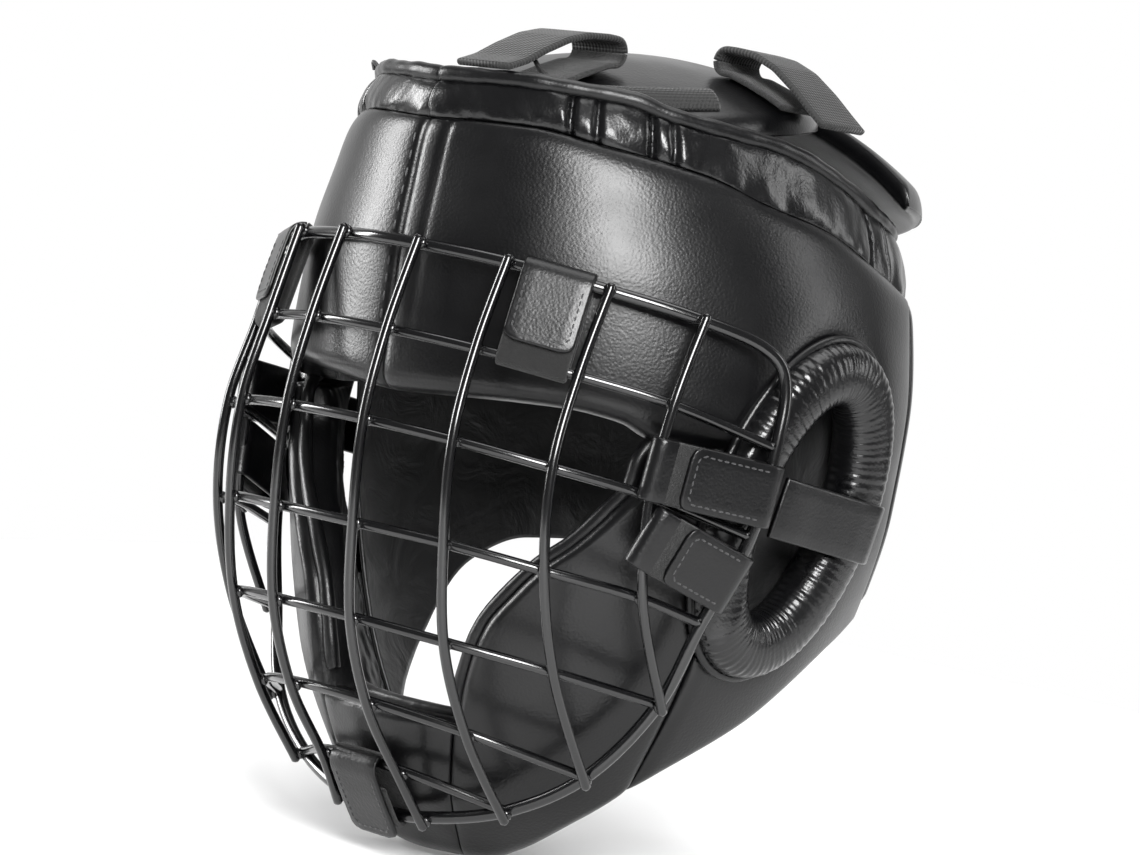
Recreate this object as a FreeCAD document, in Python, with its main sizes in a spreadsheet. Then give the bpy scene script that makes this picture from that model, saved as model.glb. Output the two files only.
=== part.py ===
# Boxing headgear with a removable wire face grille.
# Lengths are millimetres. The wearer faces -Y, the wearer's left is +X and +Z is up.
# The origin is the centre of the head cavity at brow level.
import FreeCAD
import Part
import Sketcher
import math
import os
from FreeCAD import Placement, Rotation, Vector

doc = FreeCAD.newDocument("boxing_headgear")
sheet = doc.addObject("Spreadsheet::Sheet", "Dimensions")

sizes = {
    # padded shell
    "shell_centre_y": 15.0,
    "cover_thick": 1.4,
    "foam_depth": 17.0,
    "lining_thick": 1.2,
    "layer_gap": 0.2,
    "panel_gap_deg": 0.15,
    "forehead_edge_deg": 68.0,
    "rear_edge_deg": 122.0,
    # rim band and piping
    "band_thick": 8.5,
    "rim_piping_radius": 3.0,
    "cheek_piping_radius": 2.6,
    # crown
    "dome_radius": 161.0,
    "dome_top": 145.5,
    "dome_centre_y": 20.0,
    "crown_thick": 8.0,
    "crown_half_width": 72.0,
    "crown_half_length": 77.0,
    "crown_split_y": 60.0,
    "leaf_half_width": 98.0,
    "leaf_half_length": 112.0,
    "webbing_thick": 1.5,
    "webbing_width": 25.0,
    "lace_inner_radius": 50.0,
    "lace_outer_radius": 68.0,
    # chin cup
    "chin_half_deg": 22.6,
    "chin_cup_thick": 14.0,
    "chin_liner_thick": 6.0,
    "chin_top_z": -88.0,
    # ear rings
    "ear_y": 3.0,
    "ear_z": -2.0,
    "ear_half_height": 61.0,
    "ear_half_width": 38.0,
    "ear_hole_half_height": 38.0,
    "ear_hole_half_width": 17.0,
    "ear_base_x": 93.1,
    "ear_depth": 19.0,
    "ear_round": 7.0,
    "ear_clearance": 0.3,
    "ear_strap_length": 57.0,
    "ear_strap_shift": 9.5,
    "bar_low_gap": 3.2,
    "bar_lowest_gap": 7.0,
    "wire_clearance": 0.3,
    "tab_clearance": 4.7,
    "ear_strap_width": 21.0,
    "ear_strap_thick": 2.0,
    # grille wires
    "frame_wire_radius": 2.2,
    "bar_wire_radius": 1.75,
    "upright_lift": 4.0,
    "bar_lift": 0.4,
    "frame_end_gap": 2.3,
    # grille tabs
    "strap_thick": 1.4,
    "strap_clearance": 0.35,
    "forehead_tab_width": 24.0,
    "side_tab_width": 21.0,
    "chin_tab_width": 22.0,
    # rear closure
    "closure_low_z": 5.0,
    "closure_high_z": 43.0,
}

# shell section at ten heights: height, half width, depth forward, depth backward
levels = [
    (-145.0, 42.0, 60.0, 76.0),
    (-110.0, 70.0, 88.0, 90.0),
    (-75.0, 90.0, 99.5, 98.0),
    (-40.0, 103.0, 102.5, 106.0),
    (-5.0, 110.0, 107.0, 111.0),
    (30.0, 111.0, 113.5, 113.0),
    (65.0, 106.0, 113.5, 111.0),
    (95.0, 96.0, 110.5, 105.0),
    (115.0, 89.5, 108.0, 96.0),
    (135.0, 83.0, 104.0, 88.0),
]
# edges of the panels: angle round the head from the front, height
seam_line = [
    (0, 111), (25, 112), (40, 109), (61, 103.5), (73, 97), (88, 91),
    (100, 83), (117, 74), (145, 68), (180, 66),
]
rim_line = [
    (0, 126), (25, 127), (45, 125.5), (54, 122), (63, 120), (74, 118.5),
    (84, 115), (98, 107), (111, 100), (140, 92), (180, 90),
]
brim_line = [
    (0, 19), (35, 22), (45, 20), (52, 15), (68, 14),
]
jaw_line = [
    (0, -140), (30, -140), (45, -134), (60, -119), (75, -98), (90, -79),
    (110, -50), (125, -40), (180, -35),
]
# front edge of a cheek pad: height, angle
cheek_line = [
    (-140, 23.0), (-80, 23.0), (-66, 23.5), (-54, 25.0), (-41, 29.5), (-32, 33.5),
    (-22, 39.5), (-10, 45.0), (0, 49.0), (12, 50.5),
]
# grille crossings on the wearer's left, row by row from the top rail down
grid_rows = [
    [(17, -103, 69), (47, -93, 67), (74.5, -74, 62.5), (96, -51, 57), (113, -23, 48)],
    [(17, -112, 40), (46.5, -102, 38), (73, -82, 34), (95, -60, 29), (114, -26, 18.5)],
    [(17.5, -117.5, 10), (48, -108.5, 8), (74, -90, 4), (92.5, -63, -1.5), (111, -29, -11.5)],
    [(18, -116.5, -24), (49, -107, -25.5), (75, -88, -29.5), (93, -60, -35), (102, -37, -42)],
    [(17.8, -111.5, -55.5), (48.5, -100.0, -58.0), (74.5, -76.0, -63.0), (92.0, -41.0, -71.0)],
    [(17.7, -98.0, -84.0), (48.5, -83.0, -88.7), (74.0, -51.5, -99.0)],
    [(17.8, -78.5, -108.0), (49.5, -60.0, -115.5)],
    [(20.5, -66.5, -124.0)],
]

for number, values in enumerate(levels):
    for name, value in zip(("height", "half_width", "depth_front", "depth_rear"), values):
        sizes["level_%d_%s" % (number, name)] = value
for row, crossings in enumerate(grid_rows):
    for column, crossing in enumerate(crossings):
        for name, value in zip(("along", "forward", "above"), crossing):
            sizes["wire_%d_%d_%s" % (row, column, name)] = value

for line, (alias, value) in enumerate(sizes.items(), start=1):
    sheet.set("A%d" % line, alias)
    sheet.set("B%d" % line, str(value))
    sheet.setAlias("B%d" % line, alias)
doc.recompute()


def size(alias):
    return float(sheet.get(alias))


def along_table(table, value):
    """Smooth value read from a table of (key, value) pairs in rising order of key."""
    if value <= table[0][0]:
        return table[0][1]
    if value >= table[-1][0]:
        return table[-1][1]
    for index in range(len(table) - 1):
        if value <= table[index + 1][0]:
            break
    slopes = []
    for here in (index, index + 1):
        before = max(here - 1, 0)
        after = min(here + 1, len(table) - 1)
        left = (table[here][1] - table[before][1]) / max(table[here][0] - table[before][0], 1e-9)
        right = (table[after][1] - table[here][1]) / max(table[after][0] - table[here][0], 1e-9)
        if before == here or after == here:
            slopes.append(right if before == here else left)
        elif left * right <= 0.0:
            slopes.append(0.0)
        else:
            slopes.append(2.0 * left * right / (left + right))
    low, high = table[index], table[index + 1]
    span = high[0] - low[0]
    t = (value - low[0]) / span
    return ((2 * t ** 3 - 3 * t ** 2 + 1) * low[1] + (t ** 3 - 2 * t ** 2 + t) * span * slopes[0]
            + (3 * t ** 2 - 2 * t ** 3) * high[1] + (t ** 3 - t ** 2) * span * slopes[1])


def level_table(name):
    return [(size("level_%d_height" % k), size("level_%d_%s" % (k, name))) for k in range(len(levels))]


half_width = level_table("half_width")
depth_front = level_table("depth_front")
depth_rear = level_table("depth_rear")


def shell_point(angle, height, offset):
    """Point of the padded shell at an angle from the front, a height and an offset outwards."""
    turn = math.radians(angle)
    depth = along_table(depth_front if math.cos(turn) > 0 else depth_rear, height)
    x = (along_table(half_width, height) + offset) * math.sin(turn)
    y = size("shell_centre_y") - (depth + offset) * math.cos(turn)
    return Vector(x, y, height)


def make_object(label, shape):
    place = shape.Placement
    feature = doc.addObject("Part::Feature", label)
    feature.Label = label
    feature.Shape = shape
    feature.Placement = place
    return feature


def patch_solid(point, columns, rows):
    """Solid between the two surfaces point(u, v, 0) and point(u, v, 1), u and v from 0 to 1."""
    surfaces = []
    for side in (0, 1):
        grid = [[point(i / (columns - 1.0), j / (rows - 1.0), side) for j in range(rows)]
                for i in range(columns)]
        surface = Part.BSplineSurface()
        surface.interpolate(grid)
        surfaces.append(surface)
    inner, outer = surfaces
    faces = [inner.toShape(), outer.toShape()]
    u0, u1, v0, v1 = inner.bounds()
    for u in (u0, u1):
        faces.append(Part.makeRuledSurface(inner.uIso(u).toShape(), outer.uIso(u).toShape()))
    for v in (v0, v1):
        faces.append(Part.makeRuledSurface(inner.vIso(v).toShape(), outer.vIso(v).toShape()))
    hull = Part.Shell(faces)
    hull.sewShape()
    solid = Part.makeSolid(hull)
    if solid.Volume < 0:
        solid.reverse()
    return solid


def mirrored(shape):
    return shape.mirror(Vector(0, 0, 0), Vector(1, 0, 0))


def panel(start, end, low, high, inner, outer, columns, rows=8):
    """Shell panel between two angles, with its lower and upper edge given as functions of angle."""
    def point(u, v, side):
        angle = start + (end - start) * u
        height = low(angle) + (high(angle) - low(angle)) * v
        return shell_point(angle, height, outer if side else inner)
    return patch_solid(point, columns, rows)


def seam(angle):
    return along_table(seam_line, abs(angle))


def rim(angle):
    return along_table(rim_line, abs(angle))


def brim(angle):
    return along_table(brim_line, abs(angle))


def jaw(angle):
    return along_table(jaw_line, abs(angle))


# ---- ear opening, shared by the ring and by the panels it is let into
ear_normal = Vector(1.0, -0.105, -0.11).normalize()
ear_up = Vector(0.131, 0.23, 0.973).normalize()
ear_side = ear_normal.cross(ear_up).normalize()
ear_centre = Vector(size("ear_base_x"), size("ear_y"), size("ear_z"))
ear_turn = Placement(ear_centre, Rotation(ear_up, ear_side, ear_normal, "ZXY"))


def oval(half_height, half_width_value, thickness, base):
    ellipse = Part.Ellipse(Vector(0, 0, base), half_height, half_width_value)
    return Part.Face(Part.Wire([ellipse.toShape()])).extrude(Vector(0, 0, thickness))


ear_cutter = oval(size("ear_half_height") + size("ear_clearance"),
                  size("ear_half_width") + size("ear_clearance"), 60.0, -12.0)
ear_cutter.Placement = ear_turn

# ---- padded shell: cover, foam and lining panels
gap_angle = size("panel_gap_deg")
front_edge = size("forehead_edge_deg")
back_edge = size("rear_edge_deg")
cover_inner = -size("cover_thick")
foam_outer = cover_inner - size("layer_gap")
foam_inner = -size("foam_depth")
lining_outer = foam_inner - size("layer_gap")
lining_inner = lining_outer - size("lining_thick")

cover_forehead = panel(gap_angle, front_edge, brim, seam, cover_inner, 0.0, 10).cut(ear_cutter)
make_object("cover_forehead_left", cover_forehead)
make_object("cover_forehead_right", mirrored(cover_forehead))
cover_side = panel(front_edge + 2 * gap_angle, back_edge, jaw, seam, cover_inner, 0.0, 9, 12).cut(ear_cutter)
make_object("cover_side_left", cover_side)
make_object("cover_side_right", mirrored(cover_side))
rear_start = back_edge + 2 * gap_angle
make_object("cover_rear", panel(rear_start, 360.0 - rear_start, lambda a: jaw(min(a, 360 - a)),
                                lambda a: seam(min(a, 360 - a)), cover_inner, 0.0, 13))

foam_forehead = panel(-front_edge, front_edge, brim, seam, foam_inner, foam_outer, 17)
make_object("foam_forehead", foam_forehead.cut(ear_cutter).cut(mirrored(ear_cutter)))
foam_start = front_edge + 2 * gap_angle
foam_side = panel(foam_start, back_edge, jaw, lambda a: seam(a) - 0.6, foam_inner, foam_outer, 9, 12)
foam_side = foam_side.cut(ear_cutter)
make_object("foam_side_left", foam_side)
make_object("foam_side_right", mirrored(foam_side))
make_object("foam_rear", panel(rear_start, 360.0 - rear_start, lambda a: jaw(min(a, 360 - a)),
                               lambda a: seam(min(a, 360 - a)), foam_inner + 0.6, foam_outer, 13))

lining_forehead = panel(-front_edge, front_edge, brim, seam, lining_inner, lining_outer, 17)
make_object("lining_forehead", lining_forehead)
lining_front = front_edge + 2 * gap_angle
lining_side = panel(lining_front, 180.0 - gap_angle, jaw, seam, lining_inner, lining_outer, 15, 12)
make_object("lining_left", lining_side)
make_object("lining_right", mirrored(lining_side))

# ---- gathered rim band with its piping
band_outer = -0.5
band_inner = band_outer - size("band_thick")
piping_radius = size("rim_piping_radius")
band = panel(gap_angle, 180.0 - gap_angle, lambda a: seam(a) + 0.4,
             lambda a: rim(a) - piping_radius - 0.3, band_inner, band_outer, 19, 4)
make_object("rim_band_left", band)
make_object("rim_band_right", mirrored(band))


def sweep_circle(curve, radius, solid_label):
    """Round bar lofted through circles carried along a curve without twist."""
    length = curve.length()
    stations = max(6, int(length / 5.0))
    first, last = curve.FirstParameter, curve.LastParameter
    side = None
    rings = []
    for k in range(stations + 1):
        parameter = first + (last - first) * k / stations
        tangent = curve.tangent(parameter)[0]
        if side is None:
            side = tangent.cross(Vector(0, 0, 1) if abs(tangent.z) < 0.8 else Vector(1, 0, 0)).normalize()
        side = (side - tangent * side.dot(tangent)).normalize()
        circle = Part.Circle(curve.value(parameter), tangent, radius)
        circle.XAxis = side
        rings.append(Part.Wire([circle.toShape()]))
    faces = [Part.Face(rings[0]), Part.Face(rings[-1])]
    for start in range(0, stations, 16):
        faces += Part.makeLoft(rings[start:start + 17], False, False).Faces
    hull = Part.Shell(faces)
    hull.sewShape()
    bar = Part.makeSolid(hull)
    if bar.Volume < 0:
        bar.reverse()
    expected = math.pi * radius ** 2 * length
    if abs(bar.Volume / expected - 1.0) > 0.03:
        message = "%s: swept volume %.1f, section times length %.1f"
        raise ValueError(message % (solid_label, bar.Volume, expected))
    return bar


def spline(points, before=None, after=None):
    """Smooth curve through the points, each gap first filled by a centripetal Catmull-Rom piece."""
    lead = before or points[0] * 2 - points[1]
    trail = after or points[-1] * 2 - points[-2]
    reached = [lead] + points + [trail]
    dense = []
    for index in range(len(points) - 1):
        quad = reached[index:index + 4]
        knots = [0.0]
        for k in range(3):
            knots.append(knots[-1] + math.sqrt((quad[k + 1] - quad[k]).Length))
        steps = max(2, int((quad[2] - quad[1]).Length / 8.0))
        for step in range(steps):
            t = knots[1] + (knots[2] - knots[1]) * step / steps
            level = quad
            for order in (1, 2, 3):
                joined = []
                for k in range(len(level) - 1):
                    low = knots[k] if order < 3 else knots[1]
                    high = knots[k + order] if order < 3 else knots[2]
                    share = (t - low) / (high - low)
                    joined.append(level[k] * (1 - share) + level[k + 1] * share)
                level = joined
            dense.append(level[0])
    dense.append(points[-1])
    curve = Part.BSplineCurve()
    curve.interpolate(dense)
    return curve


rim_points = []
for step in range(19):
    angle = 0.25 + 179.5 * step / 18.0
    rim_points.append(shell_point(angle, rim(angle), -4.5))
rim_piping = sweep_circle(spline(rim_points), piping_radius, "rim_piping")
make_object("rim_piping_left", rim_piping)
make_object("rim_piping_right", mirrored(rim_piping))

# ---- cheek pads with a rolled front edge, chin cup and its liner


def cheek_angle(height):
    return along_table(cheek_line, height)


def cheek_point(u, v, side):
    front_height = 12.0 - 152.0 * v
    angle = cheek_angle(front_height) + (front_edge - 2 * gap_angle - cheek_angle(front_height)) * u
    height = 12.0 + v * (jaw(angle) - 12.0)
    return shell_point(angle, height, 0.0 if side else lining_inner)


cheek_pad = patch_solid(cheek_point, 8, 14).cut(ear_cutter)
make_object("cheek_pad_left", cheek_pad)
make_object("cheek_pad_right", mirrored(cheek_pad))

cheek_edge = [shell_point(cheek_angle(z) - 2.2, z, -3.5) for z in (10, 2, -8, -18, -30, -42, -54, -66, -80)]
cheek_piping = sweep_circle(spline(cheek_edge), size("cheek_piping_radius"), "cheek_piping")
make_object("cheek_piping_left", cheek_piping)
make_object("cheek_piping_right", mirrored(cheek_piping))

chin_angle = size("chin_half_deg")
chin_inner = -size("chin_cup_thick")
make_object("chin_cup", panel(-chin_angle, chin_angle, jaw, lambda a: size("chin_top_z"), chin_inner, 0.0, 7))
liner_top = size("chin_top_z") + 2.0
liner_outer = chin_inner - 0.8
liner_inner = liner_outer - size("chin_liner_thick")
liner = panel(-chin_angle, chin_angle, lambda a: jaw(a) + 5.0, lambda a: liner_top,
              liner_inner, liner_outer, 7)
make_object("chin_liner", liner)

# ---- crown: padded dome, rear leaf, lacing web
dome_centre = Vector(0, size("dome_centre_y"), size("dome_top") - size("dome_radius"))


def dome_height(x, y):
    reach = (x - dome_centre.x) ** 2 + (y - dome_centre.y) ** 2
    return dome_centre.z + math.sqrt(size("dome_radius") ** 2 - reach)


dome = Part.makeSphere(size("dome_radius"), dome_centre)
dome = dome.cut(Part.makeSphere(size("dome_radius") - size("crown_thick"), dome_centre))


def upright_oval(centre_y, half_width_value, half_length):
    ellipse = Part.Ellipse(Vector(0, centre_y, 60), half_length, half_width_value)
    ellipse.XAxis = Vector(0, 1, 0)
    return Part.Face(Part.Wire([ellipse.toShape()])).extrude(Vector(0, 0, 100))


split = size("crown_split_y")
front_block = Part.makeBox(400, 300, 400, Vector(-200, split - 300, -100))
rear_block = Part.makeBox(400, 300, 400, Vector(-200, split + 0.3, -100))
pad_column = upright_oval(0.0, size("crown_half_width"), size("crown_half_length")).common(front_block)
make_object("crown_pad", dome.common(pad_column).cut(foam_forehead).cut(lining_forehead))
leaf_column = upright_oval(20.0, size("leaf_half_width"), size("leaf_half_length")).common(rear_block)
make_object("crown_leaf_rear", dome.common(leaf_column))


def lace_point(u, v, side):
    turn = math.radians(36.0 + 32.0 * u)
    reach = size("lace_inner_radius") + (size("lace_outer_radius") - size("lace_inner_radius")) * v
    x = reach * math.sin(turn)
    y = -reach * math.cos(turn)
    return Vector(x, y, dome_height(x, y) + 0.3 + (size("webbing_thick") if side else 0.0))


make_object("crown_lace", patch_solid(lace_point, 8, 4))


def ribbon(path, thickness, origin, across, out_axis, up_axis, width):
    """Strap of even thickness: the path is a list of (out, up) pairs in the plane of two axes."""
    near, far = [], []
    for index, (n, s) in enumerate(path):
        before = path[max(index - 1, 0)]
        after = path[min(index + 1, len(path) - 1)]
        dn, ds = after[0] - before[0], after[1] - before[1]
        length = math.hypot(dn, ds)
        near.append((n - ds / length * thickness / 2, s + dn / length * thickness / 2))
        far.append((n + ds / length * thickness / 2, s - dn / length * thickness / 2))
    outline = near + far[::-1]
    corners = [origin + out_axis * n + up_axis * s - across * (width / 2) for n, s in outline]
    face = Part.Face(Part.makePolygon(corners + corners[:1]))
    strap = face.extrude(across * width)
    if strap.Volume < 0:
        strap.reverse()
    return strap


def arc(centre, reach_out, reach_up, start, end, steps=6):
    """Points of an oval arc, angles in degrees from the out axis towards the up axis."""
    points = []
    for step in range(steps + 1):
        turn = math.radians(start + (end - start) * step / steps)
        points.append((centre[0] + reach_out * math.cos(turn), centre[1] + reach_up * math.sin(turn)))
    return points


web = size("webbing_thick")
# front tab: out axis runs backwards, up axis is up
front_tab_path = [(-76.0, 117.5), (-66.0, 124.0), (-55.0, 129.6), (-44.0, 134.0), (-34.0, 137.6)]
front_tab_path += arc((-31.0, 142.5), 4.0, 4.5, -80, -4)
front_flap_path = arc((-31.0, 142.5), 4.0, 4.5, 4, 80)
front_flap_path += [(-36.0, 146.4), (-50.0, 143.0), (-66.0, 139.0), (-84.0, 135.5)]
web_origin = Vector(15.0, 0, 0)
make_object("crown_tab_front", ribbon(front_tab_path, web, web_origin, Vector(1, 0, 0), Vector(0, 1, 0),
                                      Vector(0, 0, 1), size("webbing_width")))
make_object("crown_flap_front", ribbon(front_flap_path, web, web_origin, Vector(1, 0, 0), Vector(0, 1, 0),
                                       Vector(0, 0, 1), size("webbing_width")))
# side tab: out axis runs inwards across the head
side_tab_path = [(-70.0, 131.6), (-62.0, 135.2), (-54.0, 138.2), (-45.0, 141.2)]
side_tab_path += arc((-42.0, 145.6), 4.0, 4.3, -80, -4)
side_flap_path = arc((-42.0, 145.6), 4.0, 4.3, 4, 80)
side_flap_path += [(-47.0, 149.4), (-60.0, 145.0), (-74.0, 138.5), (-88.0, 130.5)]
web_origin = Vector(0, 20.0, 0)
make_object("crown_tab_side", ribbon(side_tab_path, web, web_origin, Vector(0, 1, 0), Vector(-1, 0, 0),
                                     Vector(0, 0, 1), size("webbing_width")))
make_object("crown_flap_side", ribbon(side_flap_path, web, web_origin, Vector(0, 1, 0), Vector(-1, 0, 0),
                                      Vector(0, 0, 1), size("webbing_width")))

# ---- ear rings and the straps across them
ring = oval(size("ear_half_height"), size("ear_half_width"), size("ear_depth"), 0.0)
ring = ring.cut(oval(size("ear_hole_half_height"), size("ear_hole_half_width"), size("ear_depth") + 2, -1.0))
top_edges = [edge for edge in ring.Edges if abs(edge.BoundBox.ZMin - size("ear_depth")) < 0.01]
ring = ring.makeFillet(size("ear_round"), top_edges)
ring.Placement = ear_turn


def state_ok(feature):
    return "Invalid" not in feature.State and "Error" not in feature.State


def strap_body(label, place):
    """Flat strap with rounded long edges, drawn as a centred rectangle and padded."""
    body = doc.addObject("PartDesign::Body", label)
    body.Label = label
    sketch = body.newObject("Sketcher::SketchObject", label + "_outline")
    planes = [item for item in body.Origin.OriginFeatures if item.Role == "XY_Plane"]
    sketch.AttachmentSupport = [(planes[0], "")]
    sketch.MapMode = "FlatFace"
    length, width = size("ear_strap_length"), size("ear_strap_width")
    corners = [Vector(-length / 2, -width / 2, 0), Vector(length / 2, -width / 2, 0),
               Vector(length / 2, width / 2, 0), Vector(-length / 2, width / 2, 0)]
    for index in range(4):
        sketch.addGeometry(Part.LineSegment(corners[index], corners[(index + 1) % 4]), False)
    for index in range(4):
        sketch.addConstraint(Sketcher.Constraint("Coincident", index, 2, (index + 1) % 4, 1))
    for index, kind in enumerate(("Horizontal", "Vertical", "Horizontal", "Vertical")):
        sketch.addConstraint(Sketcher.Constraint(kind, index))
    long_side = sketch.addConstraint(Sketcher.Constraint("DistanceX", 0, 1, 0, 2, length))
    sketch.setExpression("Constraints[%d]" % long_side, "Dimensions.ear_strap_length")
    short_side = sketch.addConstraint(Sketcher.Constraint("DistanceY", 1, 1, 1, 2, width))
    sketch.setExpression("Constraints[%d]" % short_side, "Dimensions.ear_strap_width")
    sketch.addConstraint(Sketcher.Constraint("Symmetric", 0, 1, 1, 2, -1, 1))
    pad = body.newObject("PartDesign::Pad", label + "_pad")
    pad.Profile = sketch
    pad.setExpression("Length", "Dimensions.ear_strap_thick")
    doc.recompute()
    long_edges = [index + 1 for index, edge in enumerate(pad.Shape.Edges)
                  if abs(edge.Length - length) < 0.01 and edge.BoundBox.ZMin > 0.5 * size("ear_strap_thick")]
    rounding = body.newObject("PartDesign::Fillet", label + "_rounding")
    rounding.Base = (pad, ["Edge%d" % index for index in long_edges])
    rounding.Radius = 0.8
    body.Placement = place
    return body


strap_out = Vector(1.0, -0.105, -0.11).normalize()
strap_along = Vector(0.10, 0.985, -0.16)
strap_along = (strap_along - strap_out * strap_along.dot(strap_out)).normalize()
strap_across = strap_out.cross(strap_along)
strap_base = ear_centre + ear_normal * (size("ear_depth") + 0.3) + Vector(0, 1.0, 0.0)
strap_base = strap_base + strap_along * size("ear_strap_shift")
strap_body("ear_strap_left", Placement(strap_base, Rotation(strap_along, strap_across, strap_out, "ZXY")))
mirror_out = Vector(-strap_out.x, strap_out.y, strap_out.z)
mirror_along = Vector(-strap_along.x, strap_along.y, strap_along.z)
mirror_base = Vector(-strap_base.x, strap_base.y, strap_base.z)
strap_body("ear_strap_right",
           Placement(mirror_base, Rotation(mirror_along, mirror_out.cross(mirror_along), mirror_out, "ZXY")))

# ---- wire grille


def crossing(row, column):
    """Grille crossing; columns count 1 to 5 on the left and -1 to -5 on the right."""
    name = "wire_%d_%d_" % (row, abs(column) - 1)
    sign = 1.0 if column > 0 else -1.0
    return Vector(sign * size(name + "along"), size(name + "forward"), size(name + "above"))


def has_crossing(row, column):
    return 0 <= row < len(grid_rows) and 1 <= abs(column) <= len(grid_rows[row])


def step_column(column, step):
    moved = column + step
    if moved == 0:
        moved += 1 if step > 0 else -1
    return moved


def outward(row, column):
    """Unit normal of the grille at a crossing, pointing away from the face."""
    ends = []
    for step in (-1, 1):
        neighbour = step_column(column, step)
        ends.append(crossing(row, neighbour if has_crossing(row, neighbour) else column))
    across = ends[1] - ends[0]
    if across.Length < 1e-6:
        across = Vector(1, 0, 0)
    heads = [crossing(r if has_crossing(r, column) else row, column) for r in (row - 1, row + 1)]
    up = heads[0] - heads[1]
    normal = across.cross(up).normalize()
    if normal.y > 0.2:
        normal = normal * -1
    return normal


def lifted(row, column, lift):
    return crossing(row, column) + outward(row, column) * lift


frame_points = [Vector(0, crossing(0, 1).y - 3.0, crossing(0, 1).z + 0.4)]
frame_points += [crossing(0, column) for column in (1, 2, 3, 4)]
corner = crossing(0, 5)
before_corner = corner + (crossing(0, 4) - corner).normalize() * 11.0
after_corner = corner + (crossing(1, 5) - corner).normalize() * 11.0
frame_points += [before_corner, (before_corner + after_corner) * 0.3 + corner * 0.4, after_corner]
frame_points += [crossing(1, 5), crossing(2, 5), crossing(3, 5), crossing(4, 4)]
frame_points += [crossing(5, 3), crossing(6, 2)]
frame_points += [crossing(7, 1)]
lowest = crossing(7, 1)
frame_points += [Vector(0, lowest.y - 1.5, lowest.z - 2.0)]


def across_middle(point):
    return Vector(-point.x, point.y, point.z)


frame_curve = spline(frame_points, across_middle(frame_points[1]), across_middle(frame_points[-2]))
frame_half = sweep_circle(frame_curve, size("frame_wire_radius"), "grille_frame")
make_object("grille_frame", Part.makeCompound([frame_half, mirrored(frame_half)]))

bar_radius = size("bar_wire_radius")
upright_curves = {}
for column, name in ((1, "inner"), (2, "middle"), (3, "outer"), (4, "side")):
    rows = [row for row in range(len(grid_rows)) if has_crossing(row, column)]
    bars = []
    for sign in (1, -1):
        points = [lifted(row, sign * column, size("upright_lift")) for row in rows]
        first = points[0] + (points[0] - points[1]).normalize() * 2.0
        last = points[-1] + (points[-1] - points[-2]).normalize() * 2.0
        curve = spline([first] + points + [last])
        upright_curves[(column, sign)] = curve
        bars.append(sweep_circle(curve, bar_radius, "grille_upright_" + name))
    make_object("grille_uprights_" + name, Part.makeCompound(bars))

bar_curves = {}
for row in range(1, 7):
    columns = [c for c in range(-5, 6) if c != 0 and has_crossing(row, c)]
    points = [lifted(row, column, size("bar_lift")) for column in columns]
    end_gap = size({5: "bar_low_gap", 6: "bar_lowest_gap"}.get(row, "frame_end_gap"))
    points[0] = points[0] + (points[1] - points[0]).normalize() * end_gap
    points[-1] = points[-1] + (points[-2] - points[-1]).normalize() * end_gap
    curve = spline(points)
    bar_curves[row] = curve
    make_object("grille_crossbar_%d" % row, sweep_circle(curve, bar_radius, "grille_crossbar_%d" % row))

# ---- tabs that hold the grille: a strap root round both wires and a flap over it
strap = size("strap_thick")
hug = size("strap_clearance") + strap / 2


def nearest(curve, target):
    """Point and unit tangent nearest to a target point on a curve of the left half or its mirror image."""
    flip = target.x < 0 and curve is frame_curve
    parameter = curve.parameter(across_middle(target) if flip else target)
    point, tangent = curve.value(parameter), curve.tangent(parameter)[0]
    return (across_middle(point), across_middle(tangent)) if flip else (point, tangent)


clear_radius = size("frame_wire_radius") + size("wire_clearance")
clear_half = sweep_circle(frame_curve, clear_radius, "frame clearance")
wire_room = [clear_half, mirrored(clear_half)]
for row, curve in bar_curves.items():
    wire_room.append(sweep_circle(curve, bar_radius + size("wire_clearance"), "bar clearance"))
for key, curve in upright_curves.items():
    wire_room.append(sweep_circle(curve, bar_radius + size("wire_clearance"), "upright clearance"))


def clear_of_wires(shape):
    """Shape with room left round every wire that meets it; loose crumbs are dropped."""
    for room in wire_room:
        if shape.BoundBox.intersect(room.BoundBox):
            pieces = shape.cut(room).Solids
            shape = max(pieces, key=lambda piece: piece.Volume)
    return shape


ring_presses = []


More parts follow.
